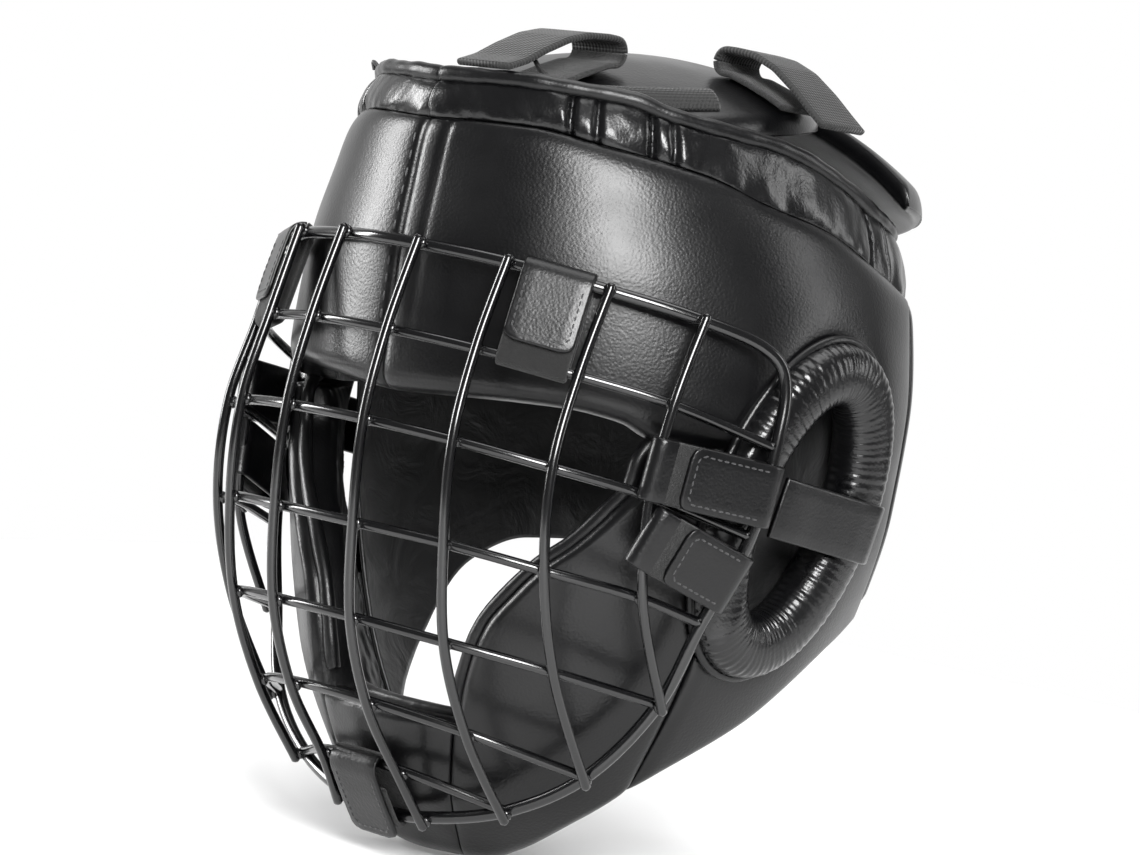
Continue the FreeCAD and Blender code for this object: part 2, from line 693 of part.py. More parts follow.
def grille_tab(label, flap_label, first, first_radius, tangent, second, second_radius, hint, width, tail):
    """Strap round a first wire, where its flap folds, and round a second wire."""
    across = Vector(tangent).normalize()
    reach = first - second
    up = (reach - across * reach.dot(across)).normalize()
    out = across.cross(up)
    if out.dot(hint) < 0:
        across = across * -1
        out = out * -1
    back = second - first
    lift, drop = back.dot(out), back.dot(up)
    front = max(lift + second_radius, first_radius) + hug
    root = [(front, -9.0), (front, -14.0)]
    root += arc((lift, drop), front - lift, second_radius + hug, 0, -90)
    root += arc((lift, drop), second_radius + hug, second_radius + hug, -105, -180, 5)
    root += arc((0.0, 0.0), first_radius + hug, first_radius + hug, 180, 92)
    cover = front + strap + 0.3
    over = [(0.25 + (cover - 0.25) * math.sin(math.radians(turn)),
             -2.0 + (first_radius + hug + 2.0) * math.cos(math.radians(turn))) for turn in range(0, 91, 15)]
    over += [(cover, drop * 0.5), (cover, drop + tail)]
    make_object(label, clear_of_wires(ribbon(root, strap, first, across, out, up, width)))
    make_object(flap_label, clear_of_wires(ribbon(over, strap, first, across, out, up, width)))
    if label.startswith("side_tab") and label.endswith("left"):
        low, high = -size("tab_clearance"), 26.0
        corners = [first + out * n + up * t - across * 22.0
                   for n, t in ((low, -30.0), (high, -30.0), (high, 8.0), (low, 8.0), (low, -30.0))]
        ring_presses.append(Part.Face(Part.makePolygon(corners)).extrude(across * 44.0))
    pivot = first + out * 0.1 + up * (first_radius + hug + strap / 2 + 0.25)
    print("hinge", flap_label, [round(c, 3) for c in pivot], [round(c, 5) for c in across],
          "out", [round(c, 4) for c in out])


frame_radius = size("frame_wire_radius")
for sign, side_name in ((1, "left"), (-1, "right")):
    start, along = nearest(frame_curve, (crossing(0, 2 * sign) + crossing(0, 3 * sign)) * 0.5)
    end, _ = nearest(bar_curves[1], (crossing(1, 2 * sign) + crossing(1, 3 * sign)) * 0.5)
    grille_tab("forehead_tab_" + side_name, "forehead_flap_" + side_name, start, frame_radius, along,
               end, bar_radius, outward(0, 2 * sign), size("forehead_tab_width"), 5.0)
    for name, upper in (("upper", 1), ("lower", 2)):
        share = (crossing(upper, 5 * sign) + crossing(upper + 1, 5 * sign)) * 0.5
        start, along = nearest(frame_curve, share)
        other = (crossing(upper, 4 * sign) + crossing(upper + 1, 4 * sign)) * 0.5
        end, _ = nearest(upright_curves[(4, sign)], other)
        grille_tab("side_tab_%s_%s" % (name, side_name), "side_flap_%s_%s" % (name, side_name), start,
                   frame_radius, along, end, bar_radius, Vector(sign, -0.4, 0), size("side_tab_width"), 9.0)
start, along = nearest(bar_curves[6], Vector(0, crossing(6, 1).y, crossing(6, 1).z))
end, _ = nearest(frame_curve, Vector(0, lowest.y - 1.5, lowest.z - 2.0))
grille_tab("chin_tab", "chin_flap", start, bar_radius, along, end, frame_radius, Vector(0, -1, -0.5),
           size("chin_tab_width"), -6.0)

# ---- ear rings, pressed in where the side tabs and the grille lie over them
for press in ring_presses:
    ring = ring.cut(press)
make_object("ear_ring_left", ring)
make_object("ear_ring_right", mirrored(ring))

# ---- rear closure
low_z, high_z = size("closure_low_z"), size("closure_high_z")
make_object("rear_strap", panel(150.0, 192.0, lambda a: low_z, lambda a: high_z, 0.3, 1.8, 7, 4))
make_object("rear_flap", panel(160.0, 204.0, lambda a: low_z, lambda a: high_z, 2.1, 3.6, 7, 4))
print("hinge rear_flap", [round(c, 3) for c in shell_point(204.0, 24.0, 3.9)])

# ---- check and write every node
doc.recompute()
os.makedirs("parts", exist_ok=True)
nodes = [item for item in doc.Objects if item.TypeId in ("Part::Feature", "PartDesign::Body")]
for node in nodes:
    if not state_ok(node):
        raise RuntimeError("%s: %s" % (node.Label, node.State))
    if node.Shape.isNull() or not node.Shape.isValid() or node.Shape.Volume < 1.0:
        raise RuntimeError("%s: bad shape" % node.Label)
for node in nodes:
    node.Shape.exportStep("parts/%s.step" % node.Label)
    box = node.Shape.BoundBox
    print("%-24s %9.0f mm3  x %.1f..%.1f y %.1f..%.1f z %.1f..%.1f" % (
        node.Label, node.Shape.Volume, box.XMin, box.XMax, box.YMin, box.YMax, box.ZMin, box.ZMax))
print(len(nodes), "nodes written")
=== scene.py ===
import math

import bpy
import numpy as np
from mathutils import Matrix, Vector


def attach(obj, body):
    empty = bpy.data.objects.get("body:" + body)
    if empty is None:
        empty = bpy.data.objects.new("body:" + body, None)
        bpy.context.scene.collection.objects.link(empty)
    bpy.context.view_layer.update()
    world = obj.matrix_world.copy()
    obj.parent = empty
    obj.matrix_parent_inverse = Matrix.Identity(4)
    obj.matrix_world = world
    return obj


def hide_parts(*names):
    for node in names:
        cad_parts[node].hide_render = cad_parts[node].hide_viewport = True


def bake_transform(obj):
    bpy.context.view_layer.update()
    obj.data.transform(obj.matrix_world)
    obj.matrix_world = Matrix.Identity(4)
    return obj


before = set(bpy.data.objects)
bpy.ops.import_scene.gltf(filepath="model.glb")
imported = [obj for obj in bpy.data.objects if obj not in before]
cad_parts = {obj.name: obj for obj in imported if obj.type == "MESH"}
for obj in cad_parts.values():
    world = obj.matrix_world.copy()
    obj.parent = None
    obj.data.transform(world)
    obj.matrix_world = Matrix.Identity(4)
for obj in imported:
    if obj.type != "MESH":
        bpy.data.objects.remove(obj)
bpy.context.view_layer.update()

mm = 0.001
scene = bpy.context.scene
print("frame loaded")


# ---- shapes shared by the padded panels

# height, half width, depth forward, depth backward of the shell
levels = np.array([
    (-145, 42, 60, 76), (-110, 70, 88, 90), (-75, 90, 99.5, 98), (-40, 103, 102.5, 106),
    (-5, 110, 107, 111), (30, 111, 113.5, 113), (65, 106, 113.5, 111), (95, 96, 110.5, 105),
    (115, 89.5, 108, 96), (135, 83, 104, 88)], float)
# angle from the front, height
seamLine = [(0, 111), (25, 112), (40, 109), (61, 103.5), (73, 97), (88, 91), (100, 83), (117, 74),
            (145, 68), (180, 66)]
rimLine = [(0, 126), (25, 127), (45, 125.5), (54, 122), (63, 120), (74, 118.5), (84, 115),
           (98, 107), (111, 100), (140, 92), (180, 90)]
brimLine = [(0, 19), (35, 22), (45, 20), (52, 15), (68, 14)]
jawLine = [(0, -140), (30, -140), (45, -134), (60, -119), (75, -98), (90, -79), (110, -50), (125, -40),
           (180, -35)]
cheekLine = [(-140, 23), (-80, 23), (-66, 23.5), (-54, 25), (-41, 29.5), (-32, 33.5), (-22, 39.5),
             (-10, 45), (0, 49), (12, 50.5)]
shellCentreY = 15.0


def monotone(table, value):
    # h00 y0 + h10 g m0 + h01 y1 + h11 g m1, the slopes m harmonic means, so nothing overshoots the table
    keys, results = np.array(table, float).T
    value = np.clip(np.asarray(value, float), keys[0], keys[-1])
    gaps = np.diff(keys)
    rises = np.diff(results) / gaps
    slopes = np.concatenate([rises[:1], np.zeros(len(keys) - 2), rises[-1:]])
    product = rises[:-1] * rises[1:]
    total = np.where(rises[:-1] + rises[1:] == 0, 1, rises[:-1] + rises[1:])
    slopes[1:-1] = np.where(product > 0, 2 * product / total, 0)
    at = np.clip(np.searchsorted(keys, value, side="right") - 1, 0, len(gaps) - 1)
    g, t = gaps[at], (value - keys[at]) / gaps[at]
    return ((2 * t**3 - 3 * t**2 + 1) * results[at] + (t**3 - 2 * t**2 + t) * g * slopes[at]
            + (3 * t**2 - 2 * t**3) * results[at + 1] + (t**3 - t**2) * g * slopes[at + 1])


def shellPoint(angle, height, offset):
    # x = (a + o) sin q, y = c - (b + o) cos q, with a and b read at each height
    turn = np.radians(angle)
    halfWidth = monotone(levels[:, [0, 1]], height)
    front = monotone(levels[:, [0, 2]], height)
    rear = monotone(levels[:, [0, 3]], height)
    depth = np.where(np.cos(turn) > 0, front, rear)
    x = (halfWidth + offset) * np.sin(turn)
    y = shellCentreY - (depth + offset) * np.cos(turn)
    return np.stack(np.broadcast_arrays(x, y, height), -1)


def smoothNoise(points, size, seed, octaves=3):
    # sum of sin(k . p + f) over seeded directions k, each octave twice as fine and half as strong
    rng = np.random.default_rng(seed)
    total = np.zeros(points.shape[:-1])
    for octave in range(octaves):
        for _ in range(6):
            direction = rng.normal(size=3)
            direction *= 2 * math.pi * 2**octave / size / np.linalg.norm(direction)
            total += np.sin(points @ direction + rng.uniform(0, 2 * math.pi)) / 2**octave / 6
    return total


def bump(value, centre, width):
    # exp(-((x - c) / w)^2)
    return np.exp(-((value - centre) / width) ** 2)


def edgeRoll(distance, radius):
    # r - sqrt(r^2 - (r - d)^2): the drop of a quarter-round edge at distance d from the seam
    d = np.clip(distance, 0, radius)
    return radius - np.sqrt(np.maximum(radius**2 - (radius - d) ** 2, 0))


def newMesh(name, vertices, faces, uv=None):
    mesh = bpy.data.meshes.new(name)
    mesh.from_pydata((np.asarray(vertices) * mm).tolist(), [], faces)
    mesh.validate()
    mesh.polygons.foreach_set("use_smooth", [True] * len(mesh.polygons))
    if uv is not None:
        layer = mesh.uv_layers.new(name="realSize")
        loops = np.zeros(len(mesh.loops), int)
        mesh.loops.foreach_get("vertex_index", loops)
        layer.data.foreach_set("uv", np.asarray(uv, float)[loops].ravel())
    piece = bpy.data.objects.new(name, mesh)
    scene.collection.objects.link(piece)
    return piece


def outwardFaces(piece):
    # the signed volume of a closed mesh is positive when its faces point outwards
    mesh = piece.data
    mesh.calc_loop_triangles()
    points = np.array([v.co for v in mesh.vertices], float)
    triangles = np.array([t.vertices for t in mesh.loop_triangles])
    a, b, c = points[triangles[:, 0]], points[triangles[:, 1]], points[triangles[:, 2]]
    if np.einsum("ij,ij->i", a, np.cross(b, c)).sum() < 0:
        mesh.flip_normals()
    return piece


def quadGrid(rows, columns, start, closedRows=False, closedColumns=False, flip=False):
    faces = []
    for i in range(rows if closedRows else rows - 1):
        for j in range(columns if closedColumns else columns - 1):
            here, below = start + i * columns, start + ((i + 1) % rows) * columns
            a, b, c, d = here + j, here + (j + 1) % columns, below + (j + 1) % columns, below + j
            faces.append((a, d, c, b) if flip else (a, b, c, d))
    return faces


def lengthsAlong(points, axis):
    steps = np.linalg.norm(np.diff(points, axis=axis), axis=-1)
    shape = list(points.shape[:-1])
    shape[axis] = 1
    return np.concatenate([np.zeros(shape), np.cumsum(steps, axis=axis)], axis=axis)


def twoSkin(name, outer, inner):
    # closed solid between the grids P(u, v) and Q(u, v): both skins and the four strips between their borders
    rows, columns = outer.shape[:2]
    count = rows * columns
    faces = quadGrid(rows, columns, 0) + quadGrid(rows, columns, count, flip=True)
    border = ([(0, j) for j in range(columns)] + [(i, columns - 1) for i in range(1, rows)]
              + [(rows - 1, j) for j in range(columns - 2, -1, -1)]
              + [(i, 0) for i in range(rows - 2, 0, -1)])
    ring = [i * columns + j for i, j in border]
    for k, a in enumerate(ring):
        b = ring[(k + 1) % len(ring)]
        faces.append((b, a, a + count, b + count))
    uv = np.stack([lengthsAlong(outer, 0), lengthsAlong(outer, 1)], -1).reshape(-1, 2) * mm
    points = np.concatenate([outer.reshape(-1, 3), inner.reshape(-1, 3)])
    return outwardFaces(newMesh(name, points, faces, np.concatenate([uv, uv])))


def curvePoints(points, spacing, before=None, after=None):
    # centripetal Catmull-Rom: a cubic through each two points, knots spaced by the root of the distance
    points = [np.asarray(p, float) for p in points]
    before = 2 * points[0] - points[1] if before is None else before
    after = 2 * points[-1] - points[-2] if after is None else after
    reached = [before] + points + [after]
    dense = []
    for index in range(len(points) - 1):
        p0, p1, p2, p3 = reached[index:index + 4]
        t0 = 0.0
        t1 = t0 + math.sqrt(np.linalg.norm(p1 - p0))
        t2 = t1 + math.sqrt(np.linalg.norm(p2 - p1))
        t3 = t2 + math.sqrt(np.linalg.norm(p3 - p2))
        steps = max(2, int(np.linalg.norm(p2 - p1) / spacing))
        t = (t1 + (t2 - t1) * np.arange(steps) / steps)[:, None]
        a1 = (t1 - t) / (t1 - t0) * p0 + (t - t0) / (t1 - t0) * p1
        a2 = (t2 - t) / (t2 - t1) * p1 + (t - t1) / (t2 - t1) * p2
        a3 = (t3 - t) / (t3 - t2) * p2 + (t - t2) / (t3 - t2) * p3
        b1 = (t2 - t) / (t2 - t0) * a1 + (t - t0) / (t2 - t0) * a2
        b2 = (t3 - t) / (t3 - t1) * a2 + (t - t1) / (t3 - t1) * a3
        dense.append((t2 - t) / (t2 - t1) * b1 + (t - t1) / (t2 - t1) * b2)
    dense.append(points[-1][None])
    return np.concatenate(dense)


def tube(name, path, radius, closed=False, sides=16, swell=None):
    # ring at each path point: p + r (cos q s + sin q t), the side s carried along without twist
    path = np.asarray(path, float)
    count = len(path)
    if closed:
        tangents = np.roll(path, -1, 0) - np.roll(path, 1, 0)
    else:
        tangents = np.gradient(path, axis=0)
    tangents /= np.linalg.norm(tangents, axis=1)[:, None]
    side = np.cross(tangents[0], (0, 0, 1) if abs(tangents[0][2]) < 0.8 else (1, 0, 0))
    frames = []
    for tangent in tangents:
        side = side - tangent * (side @ tangent)
        side /= np.linalg.norm(side)
        frames.append(side.copy())
    frames = np.array(frames)
    across = np.cross(tangents, frames)
    twist = 0.0
    if closed:
        last = frames[-1] - tangents[0] * (frames[-1] @ tangents[0])
        twist = math.atan2(frames[0] @ np.cross(tangents[0], last), frames[0] @ last)
    turns = np.arange(sides) * 2 * math.pi / sides
    q = turns[None, :] + (twist * np.arange(count) / count)[:, None]
    size = np.full((count, 1), float(radius)) if swell is None else radius * swell[:, None]
    rings = (path[:, None] + frames[:, None] * (size * np.cos(q))[..., None]
             + across[:, None] * (size * np.sin(q))[..., None])
    faces = quadGrid(count, sides, 0, closedRows=closed, closedColumns=True)
    if not closed:
        faces.append(tuple(range(sides))[::-1])
        faces.append(tuple(range((count - 1) * sides, count * sides)))
    along = lengthsAlong(path[:, None], 0)
    uv = np.stack(np.broadcast_arrays(along, turns[None] * radius), -1).reshape(-1, 2) * mm
    return outwardFaces(newMesh(name, rings.reshape(-1, 3), faces, uv))


def ribbon(name, path, across, outAxis, upAxis, origin, width, thickness, roundEnd=0.0, spacing=0.8):
    # strap: path points (n, s) in the plane of two axes, t/2 either side, width across, edges rounded by t/2
    path = np.asarray(path, float)
    steps = np.linalg.norm(np.diff(path, axis=0), axis=1)
    length = np.concatenate([[0], np.cumsum(steps)])
    stations = np.linspace(0, length[-1], max(8, int(length[-1] / spacing)))
    centre = np.stack([np.interp(stations, length, path[:, k]) for k in (0, 1)], -1)
    for _ in range(3):
        centre[1:-1] = 0.25 * centre[:-2] + 0.5 * centre[1:-1] + 0.25 * centre[2:]
    tangent = np.gradient(centre, axis=0)
    tangent /= np.linalg.norm(tangent, axis=1)[:, None]
    normal = np.stack([-tangent[:, 1], tangent[:, 0]], -1)
    half = np.full(len(stations), width / 2)
    if roundEnd:
        near = np.clip(roundEnd - length[-1] + stations, 0, roundEnd)
        half = width / 2 - roundEnd + np.sqrt(np.maximum(roundEnd**2 - near**2, 0))
    edge = thickness / 2
    profile = []
    for turn in np.linspace(-90, 90, 7):
        profile.append((1, math.cos(math.radians(turn)) * edge, math.sin(math.radians(turn)) * edge))
    for share in (0.6, 0.2, -0.2, -0.6):
        profile.append((share, 0, edge))
    for turn in np.linspace(90, 270, 7):
        profile.append((-1, math.cos(math.radians(turn)) * edge, math.sin(math.radians(turn)) * edge))
    for share in (-0.6, -0.2, 0.2, 0.6):
        profile.append((share, 0, -edge))
    profile = np.array(profile)
    flat = (profile[None, :, 0] * (half[:, None] - edge) + profile[None, :, 1])
    n = centre[:, None, 0] + normal[:, None, 0] * profile[None, :, 2]
    s = centre[:, None, 1] + normal[:, None, 1] * profile[None, :, 2]
    points = (np.asarray(origin) + np.asarray(across) * flat[..., None]
              + np.asarray(outAxis) * n[..., None] + np.asarray(upAxis) * s[..., None])
    sides = len(profile)
    faces = quadGrid(len(stations), sides, 0, closedColumns=True)
    faces.append(tuple(range(sides))[::-1])
    faces.append(tuple(range((len(stations) - 1) * sides, len(stations) * sides)))
    uv = np.stack(np.broadcast_arrays(stations[:, None], flat), -1).reshape(-1, 2) * mm
    return outwardFaces(newMesh(name, points.reshape(-1, 3), faces, uv))


def stitches(name, path, normals, length=2.6, gap=1.3, radius=0.38, sink=0.1):
    # thread: capsules of the given length laid along the path, each a stretched ball of rings
    path, normals = np.asarray(path, float), np.asarray(normals, float)
    along = np.concatenate([[0], np.cumsum(np.linalg.norm(np.diff(path, axis=0), axis=1))])
    starts = np.arange(0.5, along[-1] - length, length + gap)
    middle = starts + length / 2
    centre = np.stack([np.interp(middle, along, path[:, k]) for k in range(3)], -1)
    ahead = np.stack([np.interp(middle + 0.4, along, path[:, k]) for k in range(3)], -1)
    up = np.stack([np.interp(middle, along, normals[:, k]) for k in range(3)], -1)
    direction = ahead - centre
    direction /= np.linalg.norm(direction, axis=1)[:, None]
    up -= direction * np.einsum("ij,ij->i", up, direction)[:, None]
    up /= np.linalg.norm(up, axis=1)[:, None]
    side = np.cross(direction, up)
    v = np.linspace(0, math.pi, 6)
    h = np.arange(8) * math.pi / 4
    long = (-np.cos(v) * length / 2)[:, None] * np.ones(8)
    wide = np.sin(v)[:, None] ** 0.6 * np.cos(h)[None] * radius
    tall = np.sin(v)[:, None] ** 0.6 * np.sin(h)[None] * radius
    points = (centre[:, None, None] + direction[:, None, None] * long[None, ..., None]
              + side[:, None, None] * wide[None, ..., None]
              + up[:, None, None] * (tall - sink)[None, ..., None])
    faces = []
    for k in range(len(middle)):
        faces += quadGrid(6, 8, k * 48, closedColumns=True)
    return outwardFaces(newMesh(name, points.reshape(-1, 3), faces))


def join(name, pieces):
    # one object from several meshes of the same piece
    if len(pieces) > 1:
        with bpy.context.temp_override(active_object=pieces[0], selected_editable_objects=pieces):
            bpy.ops.object.join()
    pieces[0].name = name
    return pieces[0]


def mirrorCopy(piece, name):
    # x -> -x, faces turned back outwards
    mesh = piece.data.copy()
    mesh.transform(Matrix.Scale(-1, 4, (1, 0, 0)))
    mesh.flip_normals()
    copy = bpy.data.objects.new(name, mesh)
    scene.collection.objects.link(copy)
    return copy


# ---- materials


def linearColour(text):
    # sRGB hex to linear red, green, blue
    values = [int(text[k:k + 2], 16) / 255 for k in (1, 3, 5)]
    return [v / 12.92 if v <= 0.04045 else ((v + 0.055) / 1.055) ** 2.4 for v in values] + [1.0]


def addNode(tree, kind, settings=(), links=()):
    # settings: attribute or socket name to value; links: socket name to (node, output name)
    node = tree.nodes.new(kind)
    for name, value in dict(settings).items():
        if name in node.inputs.keys():
            node.inputs[name].default_value = value
        else:
            setattr(node, name, value)
    for name, (source, output) in dict(links).items():
        tree.links.new(source.outputs[output], node.inputs[name])
    return node


def newMaterial(name, colour, roughness, bumps, coat=0.0, roughnessRange=0.0, sheen=0.0, specular=0.5,
                tint=None):
    # bumps: list of (texture kind, settings, height output, strength, distance in mm, coordinate output)
    material = bpy.data.materials.new(name)
    material.use_nodes = True
    tree = material.node_tree
    tree.nodes.clear()
    place = addNode(tree, "ShaderNodeTexCoord")
    shader = addNode(tree, "ShaderNodeBsdfPrincipled", {
        "Base Color": linearColour(colour), "Roughness": roughness, "Coat Weight": coat,
        "Coat Roughness": 0.25, "Sheen Weight": sheen, "Sheen Roughness": 0.5,
        "Specular IOR Level": specular})
    previous = None
    for kind, settings, height, strength, distance, space in bumps:
        texture = addNode(tree, kind, settings, {"Vector": (place, space)})
        links = {"Height": (texture, height)}
        if previous:
            links["Normal"] = (previous, "Normal")
        previous = addNode(tree, "ShaderNodeBump", {"Strength": strength, "Distance": distance * mm}, links)
    if previous:
        tree.links.new(previous.outputs["Normal"], shader.inputs["Normal"])
    if roughnessRange:
        cloud = addNode(tree, "ShaderNodeTexNoise", {"Scale": 35.0, "Detail": 4.0},
                        {"Vector": (place, "Object")})
        spread = addNode(tree, "ShaderNodeMapRange", {
            "From Min": 0.3, "From Max": 0.7, "To Min": roughness - roughnessRange,
            "To Max": roughness + roughnessRange}, {"Value": (cloud, "Fac")})
        tree.links.new(spread.outputs["Result"], shader.inputs["Roughness"])
    if tint:
        cloud = addNode(tree, "ShaderNodeTexNoise", {"Scale": 60.0, "Detail": 6.0},
                        {"Vector": (place, "Object")})
        blend = addNode(tree, "ShaderNodeMix", {"data_type": "RGBA"})
        blend.inputs[6].default_value = linearColour(colour)
        blend.inputs[7].default_value = linearColour(tint)
        tree.links.new(cloud.outputs["Fac"], blend.inputs[0])
        tree.links.new(blend.outputs[2], shader.inputs["Base Color"])
    end = addNode(tree, "ShaderNodeOutputMaterial")
    tree.links.new(shader.outputs["BSDF"], end.inputs["Surface"])
    return material


grain = ("ShaderNodeTexVoronoi", {"Scale": 1100.0, "feature": "SMOOTH_F1"}, "Distance", 0.4, 0.16, "Object")
poreNoise = ("ShaderNodeTexNoise", {"Scale": 650.0, "Detail": 4.0, "Roughness": 0.55}, "Fac",
             0.26, 0.14, "Object")
softWave = ("ShaderNodeTexNoise", {"Scale": 24.0, "Detail": 2.0}, "Fac", 0.2, 1.2, "Object")
# smooth split leather with a pebble of about a millimetre
leather = newMaterial("blackLeather", "#040405", 0.33, [softWave, poreNoise, grain], coat=0.05,
                      roughnessRange=0.05, specular=0.36)
creaseNoise = ("ShaderNodeTexNoise", {"Scale": 60.0, "Detail": 4.0, "Roughness": 0.5, "Distortion": 0.8},
               "Fac", 0.35, 1.2, "Object")
# thinner gathered leather, shinier where it is stretched
softLeather = newMaterial("gatheredLeather", "#060607", 0.28, [creaseNoise, poreNoise, grain], coat=0.12,
                          roughnessRange=0.06, specular=0.42)
# binding folded round a cord
piping = newMaterial("pipingLeather", "#050506", 0.36, [poreNoise, grain], coat=0.05,
                     roughnessRange=0.05, specular=0.36)
# brushed inner lining
lining = newMaterial("liningFabric", "#09090a", 0.45, [
    ("ShaderNodeTexNoise", {"Scale": 55.0, "Detail": 5.0, "Distortion": 0.8}, "Fac", 0.6, 2.2, "Object"),
    poreNoise], sheen=0.15)
# polyamide webbing: 1.5 mm ribs along and across
webbing = newMaterial("webbingWeave", "#0a0a0a", 0.72, [
    ("ShaderNodeTexWave", {"Scale": 210.0, "bands_direction": "X"}, "Fac", 0.5, 0.35, "UV"),
    ("ShaderNodeTexWave", {"Scale": 210.0, "bands_direction": "Y"}, "Fac", 0.5, 0.35, "UV")], sheen=0.1)
# loop pile of the fastener strips
pile = newMaterial("loopPile", "#050505", 0.9, [
    ("ShaderNodeTexNoise", {"Scale": 900.0, "Detail": 4.0, "Roughness": 0.8}, "Fac", 0.9, 0.9, "Object"),
    ("ShaderNodeTexNoise", {"Scale": 260.0, "Detail": 2.0}, "Fac", 0.6, 0.8, "Object")],
    sheen=0.12, tint="#0e0e0e")
# thick gloss dip coating on steel wire
wireCoat = newMaterial("dippedWire", "#060607", 0.16, [
    ("ShaderNodeTexNoise", {"Scale": 120.0, "Detail": 2.0}, "Fac", 0.04, 0.5, "Object")], coat=0.3)
thread = newMaterial("stitchThread", "#2e2e2f", 0.5, [])
# worn, fluffed thread round the tab borders
paleThread = newMaterial("tabThread", "#29292a", 0.75, [], sheen=0.2)
floorPaint = newMaterial("paleFloor", "#f2f2f2", 0.6, [])


def finishPiece(piece, material, body, replaced=()):
    piece.data.materials.clear()
    piece.data.materials.append(material)
    if body:
        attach(piece, body)
    if replaced:
        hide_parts(*replaced)
    return piece


# ---- padded shell, one side panel running from the forehead seam round the ear opening
earCentre = np.array([93.1, 3.0, -2.0])
earNormal = np.array([1.0, -0.105, -0.11])
earNormal /= np.linalg.norm(earNormal)
earUp = np.array([0.131, 0.23, 0.973])
earUp -= earNormal * (earUp @ earNormal)
earUp /= np.linalg.norm(earUp)
earSide = np.cross(earNormal, earUp)
coverOuter, padInner = 0.0, -16.6


def earDistance(points):
    # distance in mm outside the oval ear opening, measured along its plane
    local = points - earCentre
    u, w = local @ earUp, local @ earSide
    r = np.sqrt((u / 61.0) ** 2 + (w / 38.0) ** 2)
    return (r - 1) * np.hypot(u, w) / np.maximum(r, 1e-6)


def lineAlong(table, count, start, end):
    keys = np.linspace(start, end, count)
    return np.stack([keys, monotone(table, keys)], -1)


def resample(points, count):
    steps = np.concatenate([[0], np.cumsum(np.linalg.norm(np.diff(points, axis=0), axis=1))])
    at = np.linspace(0, steps[-1], count)
    return np.stack([np.interp(at, steps, points[:, k]) for k in range(points.shape[1])], -1)


def panelGrid(innerEdge, outerEdge, rows, columns):
    # P(u, v) = (1 - u) E(v) + u B(v) in angle and height, E the opening's edge and B the far edge
    e, b = resample(innerEdge, columns), resample(outerEdge, columns)
    u = np.linspace(0, 1, rows)[:, None, None]
    return (1 - u) * e[None] + u * b[None]


# angle and height: along the brow and down the temple, against the top seam, the rear edge and the jaw
templeEdge = np.concatenate([lineAlong(brimLine, 40, 0.15, 66.5), [(67.6, 12.0)],
                             np.stack([np.full(30, 68.2), np.linspace(8, -107, 30)], -1)])
farEdge = np.concatenate([lineAlong(seamLine, 70, 0.15, 121.6),
                          np.stack([np.full(30, 121.8), np.linspace(70, -41, 30)], -1),
                          lineAlong(jawLine, 30, 121.6, 69.0)])
sideGrid = panelGrid(templeEdge, farEdge, 96, 300)
angle, height = sideGrid[..., 0], sideGrid[..., 1]
surface = shellPoint(angle, height, 0.0)
edgeIn = lengthsAlong(surface, 0)
edgeOut = edgeIn[-1:] - edgeIn
endIn = lengthsAlong(surface, 1)
brimRoll = edgeRoll(edgeIn, 7.0) * np.where(angle < 67, 1.0, 0.4)
seamDip = 2.2 * np.exp(-edgeOut / 3.0)
centreDip = 1.3 * np.exp(-endIn / 1.6)
creaseLine = 5.6 + 0.02 * (height - 60)
secondCrease = 0.9 * bump(angle, creaseLine, 0.7) * np.clip((height - 30) / 60, 0, 1)
swell = 1.1 * smoothNoise(surface, 120.0, 3, 2)
earLip = 1.6 * np.exp(-np.maximum(earDistance(surface), 0) / 4.0)
relief = coverOuter - brimRoll - seamDip - centreDip + swell * 0.6 - earLip
outer = shellPoint(angle, height, relief)
creased = shellPoint(angle, height, relief - secondCrease)
inner = shellPoint(angle, height, padInner)
inside = earDistance(surface) < 0


def openedSkin(name, outerGrid, innerGrid, hole):
    # two skins as in twoSkin, with the quads whose corners lie in the hole left out and their border closed
    rows, columns = outerGrid.shape[:2]
    count = rows * columns
    keep = ~(hole[:-1, :-1] & hole[1:, :-1] & hole[:-1, 1:] & hole[1:, 1:])
    faces, edges = [], {}
    for i, j in np.argwhere(keep):
        quad = (i * columns + j, i * columns + j + 1, (i + 1) * columns + j + 1, (i + 1) * columns + j)
        faces.append(quad)
        faces.append(tuple(k + count for k in quad[::-1]))
        for a, b in zip(quad, quad[1:] + quad[:1]):
            edges[(a, b)] = True
    for a, b in edges:
        if (b, a) not in edges:
            faces.append((b, a, a + count, b + count))
    uv = np.stack([lengthsAlong(outerGrid, 0), lengthsAlong(outerGrid, 1)], -1).reshape(-1, 2) * mm
    points = np.concatenate([outerGrid.reshape(-1, 3), innerGrid.reshape(-1, 3)])
    used = np.unique(np.array([k for f in faces for k in f]))
    renumber = np.full(len(points), -1)
    renumber[used] = np.arange(len(used))
    faces = [tuple(int(renumber[k]) for k in f) for f in faces]
    return outwardFaces(newMesh(name, points[used], faces, np.concatenate([uv, uv])[used]))


mirrored = np.array([-1, 1, 1])
shellRight = openedSkin("shellPanelRight", outer * mirrored, inner * mirrored, inside)
shellLeft = openedSkin("shellPanelLeft", creased, inner, inside)
finishPiece(shellLeft, leather, "shell",
            ("cover_forehead_left", "cover_side_left", "foam_side_left", "foam_forehead"))
finishPiece(shellRight, leather, "shell",
            ("cover_forehead_right", "cover_side_right", "foam_side_right"))

